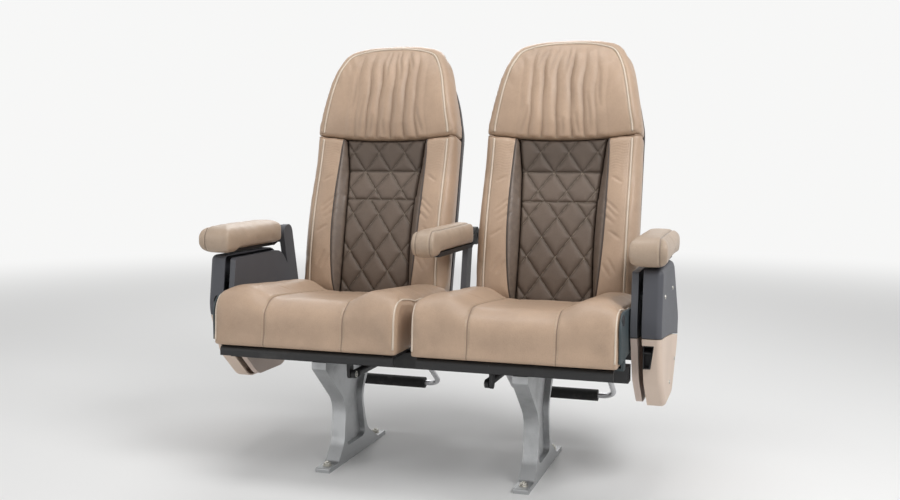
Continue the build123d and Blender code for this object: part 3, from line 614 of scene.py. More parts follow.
def woven(name, tone):
    """Plain weave, whose threads run across the backrest and up it."""
    skin = Finish(name, Specular_IOR_Level=0.2)
    place = skin.turned(skin.place(), turn=(REST_LEAN, 0.0, 0.0))
    across, _, upward = skin.split(place)
    uneven = skin.noise(place, 60.0, 3.0, 0.6)
    warp = across / THREAD_WIDTH + uneven * 0.4
    weft = upward / THREAD_WIDTH + uneven * 0.4
    warp_round = abs(warp.fraction() - 0.5).ramp(0.5, 0.1)
    weft_round = abs(weft.fraction() - 0.5).ramp(0.5, 0.1)
    turn = abs((warp.whole() + weft.whole()) * 0.5).fraction().ramp(0.2, 0.3)
    height = warp_round * turn + weft_round * (1.0 - turn)
    dark = shade(tone, 0.35)
    light = shade(tone, 1.5)
    colour = skin.mix(height, dark, shade(tone, 1.2))
    colour = skin.mix(uneven.ramp(0.55, 0.8) * 0.5, colour, light)
    skin.feed(Base_Color=colour, Roughness=0.86 - height * 0.08)
    skin.raise_by(height, 0.5 * MM, 0.8)
    return skin.material


pocket_cloth = woven("pocket cloth", srgb(0.255, 0.235, 0.225))
print("nodes in the pocket cloth", len(pocket_cloth.node_tree.nodes))

# %% [markdown]
# ## Finishes for the frame's own pieces
#
# Each piece of the frame keeps its shape and takes the finish of what it is made of. A table of name
# beginnings does for all of them, because a piece and its mirror image share a beginning.

# %% Finish the frame's pieces
frame_finishes = {
    "leg_": cast_aluminium, "side_plate_": shadow_side_trim, "console_upper_": shadow_charcoal_plastic,
    "console_lower_": cream_plastic, "recline_lever_": dark_plastic, "seat_pan_": black_steel,
    "seat_shield_": shield_plastic, "back_frame_": black_steel, "strut_barrel_": black_steel,
    "strut_rod_": bright_steel, "strut_brackets": black_steel, "back_shell_": shell_plastic,
    "tray_": tray_plastic, "tray_hinges_": dark_plastic, "tray_catch_": dark_plastic,
    "literature_pocket_": pocket_cloth, "arm_bar_": black_steel, "footrest_": bright_steel,
    "footrest_hangers": black_steel, "footrest_sleeve_": sole_rubber, "front_cross_tube": black_steel,
    "rear_cross_tube": black_steel, "recline_shaft": bright_steel, "centre_bracket": grey_steel,
    "cushion_": seat_leather, "back_pad_": bolster_leather, "back_insert_": quilted_leather,
    "headrest_pad_": seat_leather, "arm_pad_": pad_leather,
}
for name, node in nodes.items():
    start = max((beginning for beginning in frame_finishes if name.startswith(beginning)), key=len)
    node.data.materials.clear()
    node.data.materials.append(frame_finishes[start])
print("finished pieces", len(nodes))

# %% [markdown]
# ## The backrest's own directions
#
# A backrest leans, and its upholstery was cut and sewn flat, so everything on it is easier to make in its
# own directions: x across, u up the back, and n towards the front. One matrix per seat takes a piece from
# there to its place. Each piece is made once, then a copy goes to the aisle seat and a mirrored copy to
# the window seat.

# %% Backrest directions
def back_place(seat):
    """Matrix from a backrest's own directions to the frame."""
    lean = Matrix.Rotation(math.pi / 2 - REST_LEAN, 4, "X")
    return Matrix.Translation(joints[f"recline_{seat}"]["pos_m"]) @ lean


def add_object(name, mesh):
    thing = bpy.data.objects.new(name, mesh)
    scene.collection.objects.link(thing)
    mesh.polygons.foreach_set("use_smooth", [True] * len(mesh.polygons))
    return thing


def put(piece_mesh, name, finish, body, matrix, mirrored=False, stands_for=()):
    """A copy of a finished mesh as a piece of the seat, in its place and on its body."""
    mesh = piece_mesh.copy()
    mesh.name = name
    if mirrored:
        mesh.transform(Matrix.Scale(-1, 4, (1, 0, 0)))
        mesh.flip_normals()
    mesh.transform(matrix)
    mesh.materials.clear()
    mesh.materials.append(finish)
    piece = add_object(name, mesh)
    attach(piece, body)
    if stands_for:
        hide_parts(*stands_for)


def put_on_both(piece_mesh, name, finish, slot, body, place_of, stands_for=(), fill=None):
    """The piece on both seats, mirrored on the window seat. A pair of braces in body is the seat's name."""
    for seat in SEATS:
        put(
            piece_mesh, f"{name}_{seat}", finish, body.format(seat), place_of(seat),
            mirrored=seat == "window", stands_for=[f"{node}_{seat}" for node in stands_for],
        )


def put_on_backs(piece_mesh, name, finish, slot, **facts):
    put_on_both(piece_mesh, name, finish, slot, "{}_backrest", back_place, **facts)


print("aisle backrest turns about", [round(value, 3) for value in back_place("aisle").translation])

# %% [markdown]
# ## Sewing patterns
#
# The outlines that the covers were cut to. The backrest's outline is straight up to the shoulders,
# tapers past the headrest, and closes over a gentle crown. Corners are rounded by their own radii. The
# perimeter band follows the same outline, but it runs straight down past the foot instead of turning
# along it. The quilted panel is drawn in at the waist, and the seam under the headrest sags in its middle.

# %% Outlines
BACK_HALF = 225 * MM
FOOT_U, TAPER_U, SHOULDER_U, CROWN_U = 42 * MM, 551 * MM, 793 * MM, 833 * MM
TEMPLE_X, TEMPLE_U = 198.5 * MM, 677.6 * MM
SHOULDER_HALF = 140 * MM
CROWN_RISE = 31 * MM
FOOT_ROUND, TAPER_ROUND, TEMPLE_ROUND = 36 * MM, 220 * MM, 500 * MM
SHOULDER_ROUND, CROWN_ROUND = 80 * MM, 240 * MM
SEAM_U, SEAM_SAG = 531 * MM, 16 * MM
BAND_WIDTH, BAND_TAIL = 27 * MM, 90 * MM
QUILT_LEVELS = (FOOT_U, FOOT_U + 196 * MM, SEAM_U + 30 * MM)
QUILT_HALVES = (112 * MM, 106 * MM, 134 * MM)
ARC_STEPS = 10


def rounded(corners):
    """Points of a closed outline, from corners given as (x, u, radius), each rounded by an arc."""
    points = []
    for index, (x, u, radius) in enumerate(corners):
        here = np.array((x, u))
        before = np.array(corners[index - 1][:2]) - here
        after = np.array(corners[(index + 1) % len(corners)][:2]) - here
        before, after = before / np.linalg.norm(before), after / np.linalg.norm(after)
        half_turn = math.acos(np.clip(before @ after, -1, 1)) / 2
        reach = radius / math.tan(half_turn)
        centre = here + (before + after) / np.linalg.norm(before + after) * radius / math.sin(half_turn)
        start, end = here + before * reach - centre, here + after * reach - centre
        for share in np.linspace(0, 1, ARC_STEPS + 1):
            ray = start * (1 - share) + end * share
            points.append(centre + ray / np.linalg.norm(ray) * radius)
    return np.array(points)


def back_shape(foot_u):
    """The backrest's outline down to a height."""
    upper_half = [
        (BACK_HALF, TAPER_U, TAPER_ROUND), (TEMPLE_X, TEMPLE_U, TEMPLE_ROUND),
        (SHOULDER_HALF, SHOULDER_U, SHOULDER_ROUND),
    ]
    foot = [(-BACK_HALF, foot_u, FOOT_ROUND), (BACK_HALF, foot_u, FOOT_ROUND)]
    crown = [(0.0, CROWN_U + CROWN_RISE, CROWN_ROUND)]
    return rounded(foot + upper_half + crown + [(-x, u, radius) for x, u, radius in reversed(upper_half)])


back_outline = back_shape(FOOT_U)
band_outline = back_shape(FOOT_U - BAND_TAIL)
quilt_curve = np.polyfit(QUILT_LEVELS, QUILT_HALVES, 2)


def quilt_half(u):
    """Half the width of the quilted panel at a height."""
    return np.polyval(quilt_curve, u)


def seam_height(x):
    """Height of the sagging seam under the headrest."""
    return SEAM_U - SEAM_SAG * (1 - (x / BACK_HALF) ** 2)


def line_field(points, line, closed=False):
    """For each point, its signed distance to a line of stitches and its place along that line."""
    if closed:
        line = np.vstack([line, line[:1]])
    distance = np.full(len(points), np.inf)
    along = np.zeros(len(points))
    run = 0.0
    for start, end in zip(line[:-1], line[1:]):
        step = end - start
        length = np.linalg.norm(step)
        if length < TINY:
            continue
        gap = points - start
        share = np.clip(gap @ step / length**2, 0, 1)
        apart = gap - share[:, None] * step
        size = np.hypot(apart[:, 0], apart[:, 1])
        side = np.where(step[0] * gap[:, 1] - step[1] * gap[:, 0] < 0, -1.0, 1.0)
        nearer = size < np.abs(distance)
        distance[nearer] = (side * size)[nearer]
        along[nearer] = run + share[nearer] * length
        run += length
    return distance, along


print("outline", len(back_outline), "points")

# %% [markdown]
# ## Padding a cover
#
# Foam pushes a leather cover out between its seams. The recipe for that: copy the plain solid, give it an
# even mesh of small squares by a voxel remesh, and let a cloth simulation blow it up gently while the
# side that rests on the frame stays pinned. The movement is capped, so the pad stays within its space.
# Then one subdivision smooths it, and seams, pleats and creases are pressed in by moving its points.

# %% An even copy of a pad
def rows_of(mesh, what):
    """What each point of a mesh has, such as its co or its normal, in rows of three."""
    rows = np.zeros(len(mesh.vertices) * 3)
    mesh.vertices.foreach_get(what, rows)
    return rows.reshape(-1, 3)


def points_of(thing):
    return rows_of(thing.data, "co")


def set_points(thing, points):
    thing.data.vertices.foreach_set("co", points.ravel())
    thing.data.update()


def apply_modifiers(thing):
    graph = bpy.context.evaluated_depsgraph_get()
    made = bpy.data.meshes.new_from_object(thing.evaluated_get(graph))
    thing.modifiers.clear()
    thing.data = made


def soften(thing, rounds, held=None):
    """Relaxes a mesh apart from the held points, which irons out waves a few squares long."""
    axes = {"use_axis_x": True, "use_axis_y": True, "use_axis_z": True}
    with opened(thing.data) as bm:
        loose = [point for index, point in enumerate(bm.verts) if held is None or not held[index]]
        for _ in range(rounds):
            bmesh.ops.smooth_vert(bm, verts=loose, factor=0.5, **axes)


def even_copy(node, matrix, voxel, shrink, rounds):
    """A closed copy of a soft solid, taken out of matrix, with an even mesh a little inside it."""
    mesh = nodes[node].data.copy()
    mesh.name = f"{node}_pad"
    with opened(mesh) as bm:
        bmesh.ops.remove_doubles(bm, verts=bm.verts, dist=1e-5)
        bmesh.ops.transform(bm, matrix=matrix.inverted(), verts=bm.verts)
    thing = add_object(f"{node}_pad", mesh)
    remesh = thing.modifiers.new("even", "REMESH")
    remesh.mode = "VOXEL"
    remesh.voxel_size = voxel
    apply_modifiers(thing)
    soften(thing, rounds)
    set_points(thing, points_of(thing) - rows_of(thing.data, "normal") * shrink)
    return thing


# %% [markdown]
# The cloth simulation runs for twenty frames, in which pressure pushes the loose points outward. Its last
# frame is kept as a plain mesh, so that nothing has to be simulated when the piece is used.

# %% Blowing up a pad
CLOTH_FRAMES = 20


def inflate(thing, pinned, cap, pressure=4.0, ironing=2):
    """Blows a pad up as cloth, with the pinned points held and no point moving further than cap."""
    before = points_of(thing)
    group = thing.vertex_groups.new(name="pinned")
    group.add([int(index) for index in np.flatnonzero(pinned)], 1.0, "REPLACE")
    cloth = thing.modifiers.new("cloth", "CLOTH")
    cloth.settings.use_pressure = True
    cloth.settings.uniform_pressure_force = pressure
    cloth.settings.vertex_group_mass = "pinned"
    cloth.settings.effector_weights.gravity = 0.0
    cloth.settings.quality = 4
    cloth.point_cache.frame_start = 1
    cloth.point_cache.frame_end = CLOTH_FRAMES
    for step in range(1, CLOTH_FRAMES + 1):
        scene.frame_set(step)
    graph = bpy.context.evaluated_depsgraph_get()
    after = points_of(thing.evaluated_get(graph))
    thing.modifiers.clear()
    scene.frame_set(1)
    moved = after - before
    size = np.linalg.norm(moved, axis=1, keepdims=True)
    moved *= np.minimum(1.0, cap / np.maximum(size, TINY))
    set_points(thing, before + moved)
    soften(thing, ironing, pinned)
    print(thing.name, "largest swell", round(float(min(size.max(), cap)) * 1000, 1), "mm")


def refine(thing):
    """One subdivision, made real. Gives back the new points and their normals."""
    smooth = thing.modifiers.new("smooth", "SUBSURF")
    smooth.levels = 1
    smooth.render_levels = 1
    apply_modifiers(thing)
    return points_of(thing), rows_of(thing.data, "normal")


def take(thing):
    """The finished mesh of a work object, which is removed."""
    mesh = thing.data
    bpy.data.objects.remove(thing)
    return mesh


print("cloth frames", CLOTH_FRAMES)

# %% [markdown]
# Seams, channels and creases are pressed in by moving points along their normals. They could be sculpted,
# but here each is a formula of the distance to a line, so a seam can be shifted by changing one number.
# These helpers work on all points of a mesh at once, and write the attributes that the leathers read.

# %% Seams and creases
def write_seam(mesh, distance, along, edge=None, painted_shade=None):
    """The attributes that the leathers read: seam, and painted shade on the pieces that have one."""
    values = np.full((len(mesh.vertices), 3), NO_SEAM, np.float32)
    values[:, 0] = distance
    values[:, 1] = along
    if edge is not None:
        values[:, 2] = edge
    attribute = mesh.attributes.new("seam", "FLOAT_VECTOR", "POINT")
    attribute.data.foreach_set("vector", values.ravel())
    # Painted shade, which the leathers mix into their colour.
    if painted_shade is not None:
        folds = mesh.attributes.new("painted_shade", "FLOAT", "POINT")
        folds.data.foreach_set("value", painted_shade.astype(np.float32))


def rise(value, low, high):
    """0 below low, 1 above high and smooth between. With low above high it falls instead."""
    share = np.clip((value - low) / (high - low), 0, 1)
    return share * share * (3 - 2 * share)


def groove(distance, width):
    """1 on a line, falling to 0 about a width away from it."""
    return np.exp(-((distance / width) ** 2))


def creases(points, lines, width):
    """Short creases in a flat pattern, deepest in their middles."""
    depth = np.zeros(len(points))
    for x1, u1, x2, u2 in lines:
        start, end = np.array((x1, u1)), np.array((x2, u2))
        distance, along = line_field(points, np.array([start, end]))
        share = along / np.linalg.norm(end - start)
        depth = np.maximum(depth, groove(distance, width) * np.sin(np.pi * np.clip(share, 0, 1)) ** 0.6)
    return depth


print("what is left of a groove at its width", round(float(groove(1.0, 1.0)), 2))

# %% [markdown]
# ## The headrest
#
# The top of each backrest is one piece of leather over foam, sewn to the rest along the seam below it. It
# could be modelled by hand, but the plain solid of the frame already has its size, so a copy of that is
# blown up. The foam fills out the cover's shoulders in front of the shell, so the headrest looks squarer
# than the shell behind it.

# %% Headrest pad
VOXEL, SHRINK = 5.5 * MM, 1.2 * MM
HELD_DEPTH, HELD_SEAM, SWELL = 8 * MM, 4 * MM, 6 * MM
ROLL, FOOT_ROLL = 24 * MM, 13 * MM
PAD_TOP = 74 * MM
FULL_PUSH, FULL_REACH = 20 * MM, 95 * MM
FULL_X, FULL_U, FULL_EASE = 155 * MM, 755 * MM, 40 * MM
FULL_FROM, FULL_ALL = 4 * MM, 34 * MM


def filled_out(points):
    """Points of the headrest, pushed up and outward round its two shoulders."""
    x, u, n = points.T
    push = FULL_PUSH * groove(np.hypot(np.abs(x) - FULL_X, u - FULL_U), FULL_REACH)
    push *= rise(n, FULL_FROM, FULL_ALL)
    side = np.clip(x / FULL_EASE, -1, 1)
    return points + np.column_stack([side * push * 0.80, push * 0.60, np.zeros(len(n))])


def roll_over(points, inside, radius):
    """Rounds a pad's edge over, as foam does when a cover is pulled round it."""
    inside = np.clip(inside, 0, radius)
    drop = radius - np.sqrt(radius**2 - (radius - inside) ** 2)
    points[:, 2] -= drop * np.clip(points[:, 2] / PAD_TOP, 0, 1)


def backrest_pad(node):
    """An even copy of a backrest's pad, rolled over along the outline, and its points."""
    pad = even_copy(node, back_place("aisle"), VOXEL, SHRINK, rounds=2)
    points = points_of(pad)
    roll_over(points, line_field(points[:, :2], back_outline, closed=True)[0], ROLL)
    set_points(pad, points)
    return pad, points


headrest, points = backrest_pad("headrest_pad_aisle")
x, u, n = points.T
inflate(headrest, (n < HELD_DEPTH) | (u - seam_height(x) < HELD_SEAM), SWELL)
print("headrest pad points", len(headrest.data.vertices))

# %% [markdown]
# ### Gathered leather
#
# The leather is gathered into the seam below it, so it falls in about six uneven pleats that fade out
# towards the crown. The pleats could be simulated, but the photograph shows where each one lies, so their
# valleys are given and the leather between two valleys is a rounded ridge.

# %% Pleats
PLEAT_VALLEYS = np.array((-134, -100, -63, -21, 25, 63, 100, 136)) * MM
PLEAT_DEPTHS = np.array((0.25, 0.8, 1.0, 0.9, 1.0, 0.85, 0.45, 0.2))
PLEAT_DEPTH, SHORT_DEPTH, SHORT_WIDTH = 12 * MM, 3.2 * MM, 5.5 * MM
VALLEY_LEVEL = 0.6
NARROWING = 0.24
PLEATS_STOP, PLEATS_FULL = 139 * MM, 128 * MM
SHORT_PLEATS = [
    (-0.118, 0.530, -0.110, 0.610), (-0.043, 0.690, -0.034, 0.800), (0.007, 0.700, 0.003, 0.800),
    (0.084, 0.528, 0.078, 0.650), (0.046, 0.524, 0.041, 0.590), (-0.082, 0.715, -0.068, 0.792),
    (0.116, 0.600, 0.106, 0.715), (-0.002, 0.524, 0.003, 0.575),
]


def faces_front(normals):
    """1 where leather faces forward, and 0 at its edges and its back."""
    return rise(normals[:, 2], 0.1, 0.6)


points, normals = refine(headrest)
x, u, n = points.T
seam_gap = u - seam_height(x)
roll_over(points, seam_gap, FOOT_ROLL)
front = faces_front(normals)
up = rise(u, SEAM_U - 20 * MM, CROWN_U)
sway = 3.2 * MM * np.sin(u * 21 + x * 14) + 1.3 * MM * np.sin(u * 55 + x * 33 + 1.0)
pattern_x = (x + sway) / (1 - NARROWING * up)
index = np.interp(pattern_x, PLEAT_VALLEYS, np.arange(len(PLEAT_VALLEYS)))
ridge = np.abs(np.sin(np.pi * index)) ** 0.8 - VALLEY_LEVEL
depth = np.interp(pattern_x, PLEAT_VALLEYS, PLEAT_DEPTHS)
inside = rise(np.abs(pattern_x), PLEATS_STOP, PLEATS_FULL)
fade = rise(u, CROWN_U - 22 * MM, CROWN_U - 120 * MM)
depth = depth * (0.85 + 0.15 * np.sin(u * 26 + pattern_x * 70))
pleat = ridge * depth * PLEAT_DEPTH * fade * inside * front
short_pleats = creases(np.column_stack([pattern_x, u]), SHORT_PLEATS, SHORT_WIDTH) * front
# Painted shade for the leather's colour: darkest in the pleats' valleys and along the short pleats.
painted_shade = np.clip(-ridge / VALLEY_LEVEL, 0, 1) * depth * fade * inside * front
painted_shade = np.maximum(painted_shade, short_pleats * 0.5)
print("pleats from", round(pleat.min() * 1000, 1), "to", round(pleat.max() * 1000, 1), "mm")

# %% [markdown]
# ### The perimeter band
#
# A band of leather runs round the edge, set off by a seam. The seam could be cut into the mesh, but a
# shallow groove does for the form, and the seam attribute tells the shader where its stitches go.

# %% Band seam, and the headrest's cover
SEAM_WIDTH = 3.2 * MM
HEADREST_BAND, BOLSTER_BAND = 3.4 * MM, 3.2 * MM
FRONT_N, SEAM_CLEAR = 25 * MM, 8 * MM


def band_seam(points):
    """The band's seam: the distance inward from it, the place along it, and how far it is pressed in."""
    distance, along = line_field(points[:, :2], band_outline, closed=True)
    distance = distance - BAND_WIDTH
    return distance, along, groove(distance, SEAM_WIDTH) * rise(points[:, 2], 20 * MM, 40 * MM)


band_distance, band_along, band = band_seam(points)
band *= rise(seam_gap, 3 * MM, 18 * MM)
shift = (pleat - short_pleats * SHORT_DEPTH) * rise(seam_gap, 0.0, 10 * MM) - band * HEADREST_BAND
set_points(headrest, filled_out(points + normals * shift[:, None]))
seam_distance = np.where((n > FRONT_N) & (seam_gap > SEAM_CLEAR), band_distance, NO_SEAM)
# The foot seam carries the seam attribute too, so its groove gets the leather's painted shade and stitches.
near_foot = np.abs(seam_gap) < np.abs(seam_distance)
seam_distance = np.where(near_foot, np.maximum(seam_gap, 0.0) + 0.5 * MM, seam_distance)
seam_along = np.where(near_foot, x, band_along)
write_seam(headrest.data, seam_distance, seam_along, painted_shade=painted_shade)
headrest_mesh = take(headrest)
put_on_backs(
    headrest_mesh, "headrest_cover", seat_leather, "seat_leather", fill=0.7, stands_for=["headrest_pad"],
)
print("headrest faces", len(headrest_mesh.polygons))

# %% [markdown]
# ## The bolsters
#
# Either side of the quilted panel a bolster stands proud, wide at its foot. Its inner edge falls away to
# the panel in a long leaf of the darker leather, which is widest at half height. Both bolsters are one
# cover, so they are made in the same way as the headrest, from one solid.

# %% Bolster pads
LEAF_WIDEST, LEAF_LEAST = 27 * MM, 3 * MM
PANEL_DEPTH, PANEL_FORWARD = 22 * MM, 11 * MM


def leaf_width(u):
    """Width of the dark leaf at a height."""
    climb = np.clip((u - FOOT_U) / (SEAM_U - FOOT_U), 0, 1)
    return LEAF_WIDEST * np.sin(np.pi * climb ** 0.9) ** 0.8 + LEAF_LEAST


def forward_at_top(u):
    """The quilted panel comes forward to meet the headrest's edge at their seam, by this."""
    return PANEL_FORWARD * rise(u, SEAM_U - 125 * MM, SEAM_U - 22 * MM)


bolsters, points = backrest_pad("back_pad_aisle")
x, u, n = points.T
held = (n < HELD_DEPTH) | (seam_height(x) - u < HELD_SEAM) | (np.abs(x) < quilt_half(u) + 3 * MM)
inflate(bolsters, held, SWELL)
points, normals = refine(bolsters)
x, u, n = points.T
inner, leaf = np.abs(x) - quilt_half(u), leaf_width(u)
slope = rise(inner, leaf, -2 * MM)
points[:, 2] -= (PANEL_DEPTH - forward_at_top(u)) * slope * rise(n, 30 * MM, 60 * MM)
print("bolster points", len(points))

# %% [markdown]
# The outer band goes on down from the headrest. The leather is gathered finely near the top and drags into
# diagonal creases where backs have leaned on it. The gathers are a wave whose phase wanders, and the
# creases are short lines listed one by one, as they are seen in the photograph.

# %% Bolster leather
BOLSTER_CREASES = [
    (0.128, 0.345, 0.176, 0.300), (0.132, 0.325, 0.172, 0.283), (0.126, 0.302, 0.164, 0.268),
    (0.150, 0.250, 0.184, 0.225), (0.136, 0.160, 0.160, 0.120), (0.150, 0.175, 0.176, 0.128),
    (0.206, 0.420, 0.202, 0.300), (0.150, 0.405, 0.180, 0.385),
]
GATHER_PITCH, GATHER_HEIGHT = 8.5 * MM, 0.5 * MM
DRAG_WIDTH, DRAG_DEPTH = 4.2 * MM, 2.4 * MM
TUCK_WIDTH, TUCK_DEPTH = 8 * MM, 4.0 * MM
WELT_WIDTH, WELT_DEPTH = 3.0 * MM, 1.6 * MM
BULGE = 1.5 * MM

front = faces_front(normals)
band_distance, band_along, band = band_seam(points)
band *= rise(u, FOOT_U, FOOT_U + 20 * MM)
band *= rise(seam_height(x) - u, 2 * MM, 16 * MM)
strip = rise(inner, leaf, leaf + 8 * MM) * rise(band_distance, 2 * MM, 10 * MM) * front
gather_wave = np.sin(u / GATHER_PITCH * 2 * np.pi + 2.1 * np.sin(x * 150) + 1.3 * np.sin(u * 41))
gathers = gather_wave * GATHER_HEIGHT * rise(u, SEAM_U - 170 * MM, SEAM_U - 40 * MM) * strip
drag = creases(np.column_stack([np.abs(x), u]), BOLSTER_CREASES, DRAG_WIDTH) * DRAG_DEPTH * front
crown = BULGE * rise(inner, leaf, leaf + 26 * MM) * rise(band_distance, 0.0, 22 * MM) * front
tuck = groove(u - seam_height(x), TUCK_WIDTH) * front * TUCK_DEPTH
welt_line = groove(inner - leaf, WELT_WIDTH) * front * WELT_DEPTH
shift = gathers - drag - band * BOLSTER_BAND + crown - tuck - welt_line
set_points(bolsters, points + normals * shift[:, None])
seam_shown = (n > FRONT_N) & (seam_height(x) - u > SEAM_CLEAR)
seam_distance = np.where(seam_shown, band_distance, NO_SEAM)
write_seam(bolsters.data, seam_distance, band_along, inner - leaf)
bolster_mesh = take(bolsters)
put_on_backs(
    bolster_mesh, "bolster_cover", bolster_leather, "seat_leather", fill=0.75, stands_for=["back_pad"],
)
print("bolster faces", len(bolster_mesh.polygons))

# %% [markdown]
# ## The quilted panel
#
# Quilting is a lattice of stitches pulled tight through foam. A flat grid of small squares is bent to the
# panel's outline, and each point is raised by how far it is from the nearest stitch line, as the foam
# does. The lattice is two families of slanting lines. Two level seams join three lengths of it, so the
# lattice starts again below each seam, as it does on the real panel.

# %% Quilting lines
DIAMOND_WIDTH, DIAMOND_HEIGHT = 82 * MM, 113 * MM
SEAM_DROPS = (93 * MM, 181 * MM)
LATTICE_X, LATTICE_DROP = -21 * MM, 45 * MM


def lattice(x, u, start_x, start_u):
    """Distance to the nearest slanting stitch line, and the place along it."""
    per_metre = math.hypot(1 / DIAMOND_WIDTH, 1 / DIAMOND_HEIGHT)
    families = []
    for lean in (1, -1):
        count = (x - start_x) / DIAMOND_WIDTH + lean * (u - start_u) / DIAMOND_HEIGHT
        along = ((u - start_u) / DIAMOND_WIDTH - lean * (x - start_x) / DIAMOND_HEIGHT) / per_metre
        families.append((np.abs(count - np.round(count)) / per_metre, along))
    (distance, along), (other_distance, other_along) = families
    nearer = other_distance < distance
    return np.where(nearer, other_distance, distance), np.where(nearer, other_along, along)


def quilting(x, u, levels):
    """The lattice, which starts again below each level seam: distance and place along."""
    starts = ((LATTICE_X, levels[0]), (LATTICE_X, levels[0]), (0.0, levels[1] - LATTICE_DROP))
    stitch, along = lattice(x, u, *starts[0])
    for level, start in zip(levels, starts[1:]):
        below = u < level
        lower_stitch, lower_along = lattice(x, u, *start)
        stitch, along = np.where(below, lower_stitch, stitch), np.where(below, lower_along, along)
    return stitch, along


print("diamonds across", round(2 * float(quilt_half(SEAM_U)) / DIAMOND_WIDTH, 1))

# %% [markdown]
# The sheet takes its depth from the frame's plain panel. A ray goes in from the front at sixty heights,
# and the depths between them are interpolated, which keeps the small facets of the solid out of it.

# %% Quilted sheet
PILLOW, PILLOW_REACH = 7.5 * MM, 20 * MM
QUILT_COLUMNS, QUILT_ROWS = 104, 190
DEPTH_SAMPLES = 60
RAY_START = 300 * MM
EDGE_DROP, EDGE_REACH = 7 * MM, 9 * MM
LEVEL_WIDTH, LEVEL_DEPTH = 3 * MM, 1.5 * MM
QUILT_LENGTH, QUILT_SWELL, LOOSE = 470 * MM, 4 * MM, 0.6 * MM
STITCH_HELD, RIM_HELD = 1.4 * MM, 2.0 * MM


def tree_of(mesh, matrix=Matrix.Identity(4)):
    """A search tree of a mesh, taken out of matrix."""
    bm = bmesh.new()
    bm.from_mesh(mesh)
    bmesh.ops.transform(bm, matrix=matrix.inverted(), verts=bm.verts)
    tree = BVHTree.FromBMesh(bm)
    bm.free()
    return tree


def front_of(tree, x, u):
    """How far forward a surface lies at a place on the backrest."""
    return tree.ray_cast(Vector((x, u, RAY_START)), Vector((0, 0, -1)))[0].z


quilt_mesh = bpy.data.meshes.new("quilt")
with opened(quilt_mesh) as bm:
    bmesh.ops.create_grid(bm, x_segments=QUILT_COLUMNS, y_segments=QUILT_ROWS, size=1.0)
quilt = add_object("quilt_sheet", quilt_mesh)
points = points_of(quilt)
across, upward = points[:, 0], (points[:, 1] + 1) / 2
low_u, high_u = FOOT_U + 1 * MM, SEAM_U - SEAM_SAG - 1 * MM
u = low_u + upward * (high_u - low_u)
x = across * (quilt_half(u) - 1.5 * MM)
u = u + (seam_height(x) - seam_height(0.0)) * upward
panel = tree_of(nodes["back_insert_aisle"].data, back_place("aisle"))
heights = np.linspace(low_u, high_u, DEPTH_SAMPLES)
n = np.interp(u, heights, [front_of(panel, 0.0, height) for height in heights]) + forward_at_top(u)

seam_levels = [SEAM_U - SEAM_SAG - drop for drop in SEAM_DROPS]
stitch, along = quilting(x, u, seam_levels)
level_gap = np.min([np.abs(u - level) for level in seam_levels], axis=0)
border = np.minimum((1 - np.abs(across)) * quilt_half(u), np.minimum(1 - upward, upward) * QUILT_LENGTH)
nearest = np.minimum.reduce([stitch, level_gap, border + 2 * MM])
pillow = np.sqrt(1 - (1 - np.clip(nearest / PILLOW_REACH, 0, 1)) ** 2)
loose = LOOSE * np.sin(x * 60 + u * 23) * np.sin(u * 47 + 1.0)
n = n + PILLOW * (pillow - 0.75) + loose * pillow - groove(level_gap, LEVEL_WIDTH) * LEVEL_DEPTH
n = n - EDGE_DROP * np.clip(1 - border / EDGE_REACH, 0, 1) ** 2
set_points(quilt, np.column_stack([x, u, n]))
inflate(quilt, (nearest < STITCH_HELD) | (border < RIM_HELD), QUILT_SWELL, pressure=2.0, ironing=0)
print("quilt size", round(2 * x.max(), 3), "by", round(u.max() - u.min(), 3))

# %% [markdown]
# The sheet becomes a closed piece: its rim is extruded back to a flat underside, which one face closes.

# %% Quilted panel
UNDERSIDE_N = 2 * MM

quilt_mesh = take(quilt)
use_level = level_gap < stitch
stitch_gap, stitch_place = np.where(use_level, level_gap, stitch), np.where(use_level, x, along)
# The length above the first level seam is marked for the headrest's painted shadow.
write_seam(quilt_mesh, stitch_gap, stitch_place, pillow, painted_shade=(u > seam_levels[0]).astype(float))
with opened(quilt_mesh) as bm:
    rim = [edge for edge in bm.edges if edge.is_boundary]
    wall = bmesh.ops.extrude_edge_only(bm, edges=rim)["geom"]
    back_points = [item for item in wall if isinstance(item, bmesh.types.BMVert)]
    bmesh.ops.scale(bm, vec=(1, 1, 0), verts=back_points)
    bmesh.ops.translate(bm, vec=(0, 0, UNDERSIDE_N), verts=back_points)
    bmesh.ops.contextual_create(bm, geom=[edge for edge in bm.edges if edge.is_boundary])
    bmesh.ops.recalc_face_normals(bm, faces=bm.faces)
put_on_backs(
    quilt_mesh, "quilted_panel", quilted_leather, "quilted_leather", fill=0.8, stands_for=["back_insert"],
)
print("quilt faces", len(quilt_mesh.polygons))

# %% [markdown]
# ## Piping
#
# A piping is a thin cord wrapped in leather and caught in a seam. It stiffens the edge and hides the
# needle holes. A curve with a round bevel makes a tube along any line, and a ray cast from in front finds
# the height at which the line lies on the finished padding. The tube is made a mesh before it is placed.

# %% Piping
SIDES = ((1, "right"), (-1, "left"))
DARK_PIPE, DARK_LIFT = 2.3 * MM, 0.4 * MM
LEAF_PIPE_FOOT, LEAF_PIPE_TOP = FOOT_U + 9 * MM, SEAM_U - 13 * MM
LINE_POINTS = 90


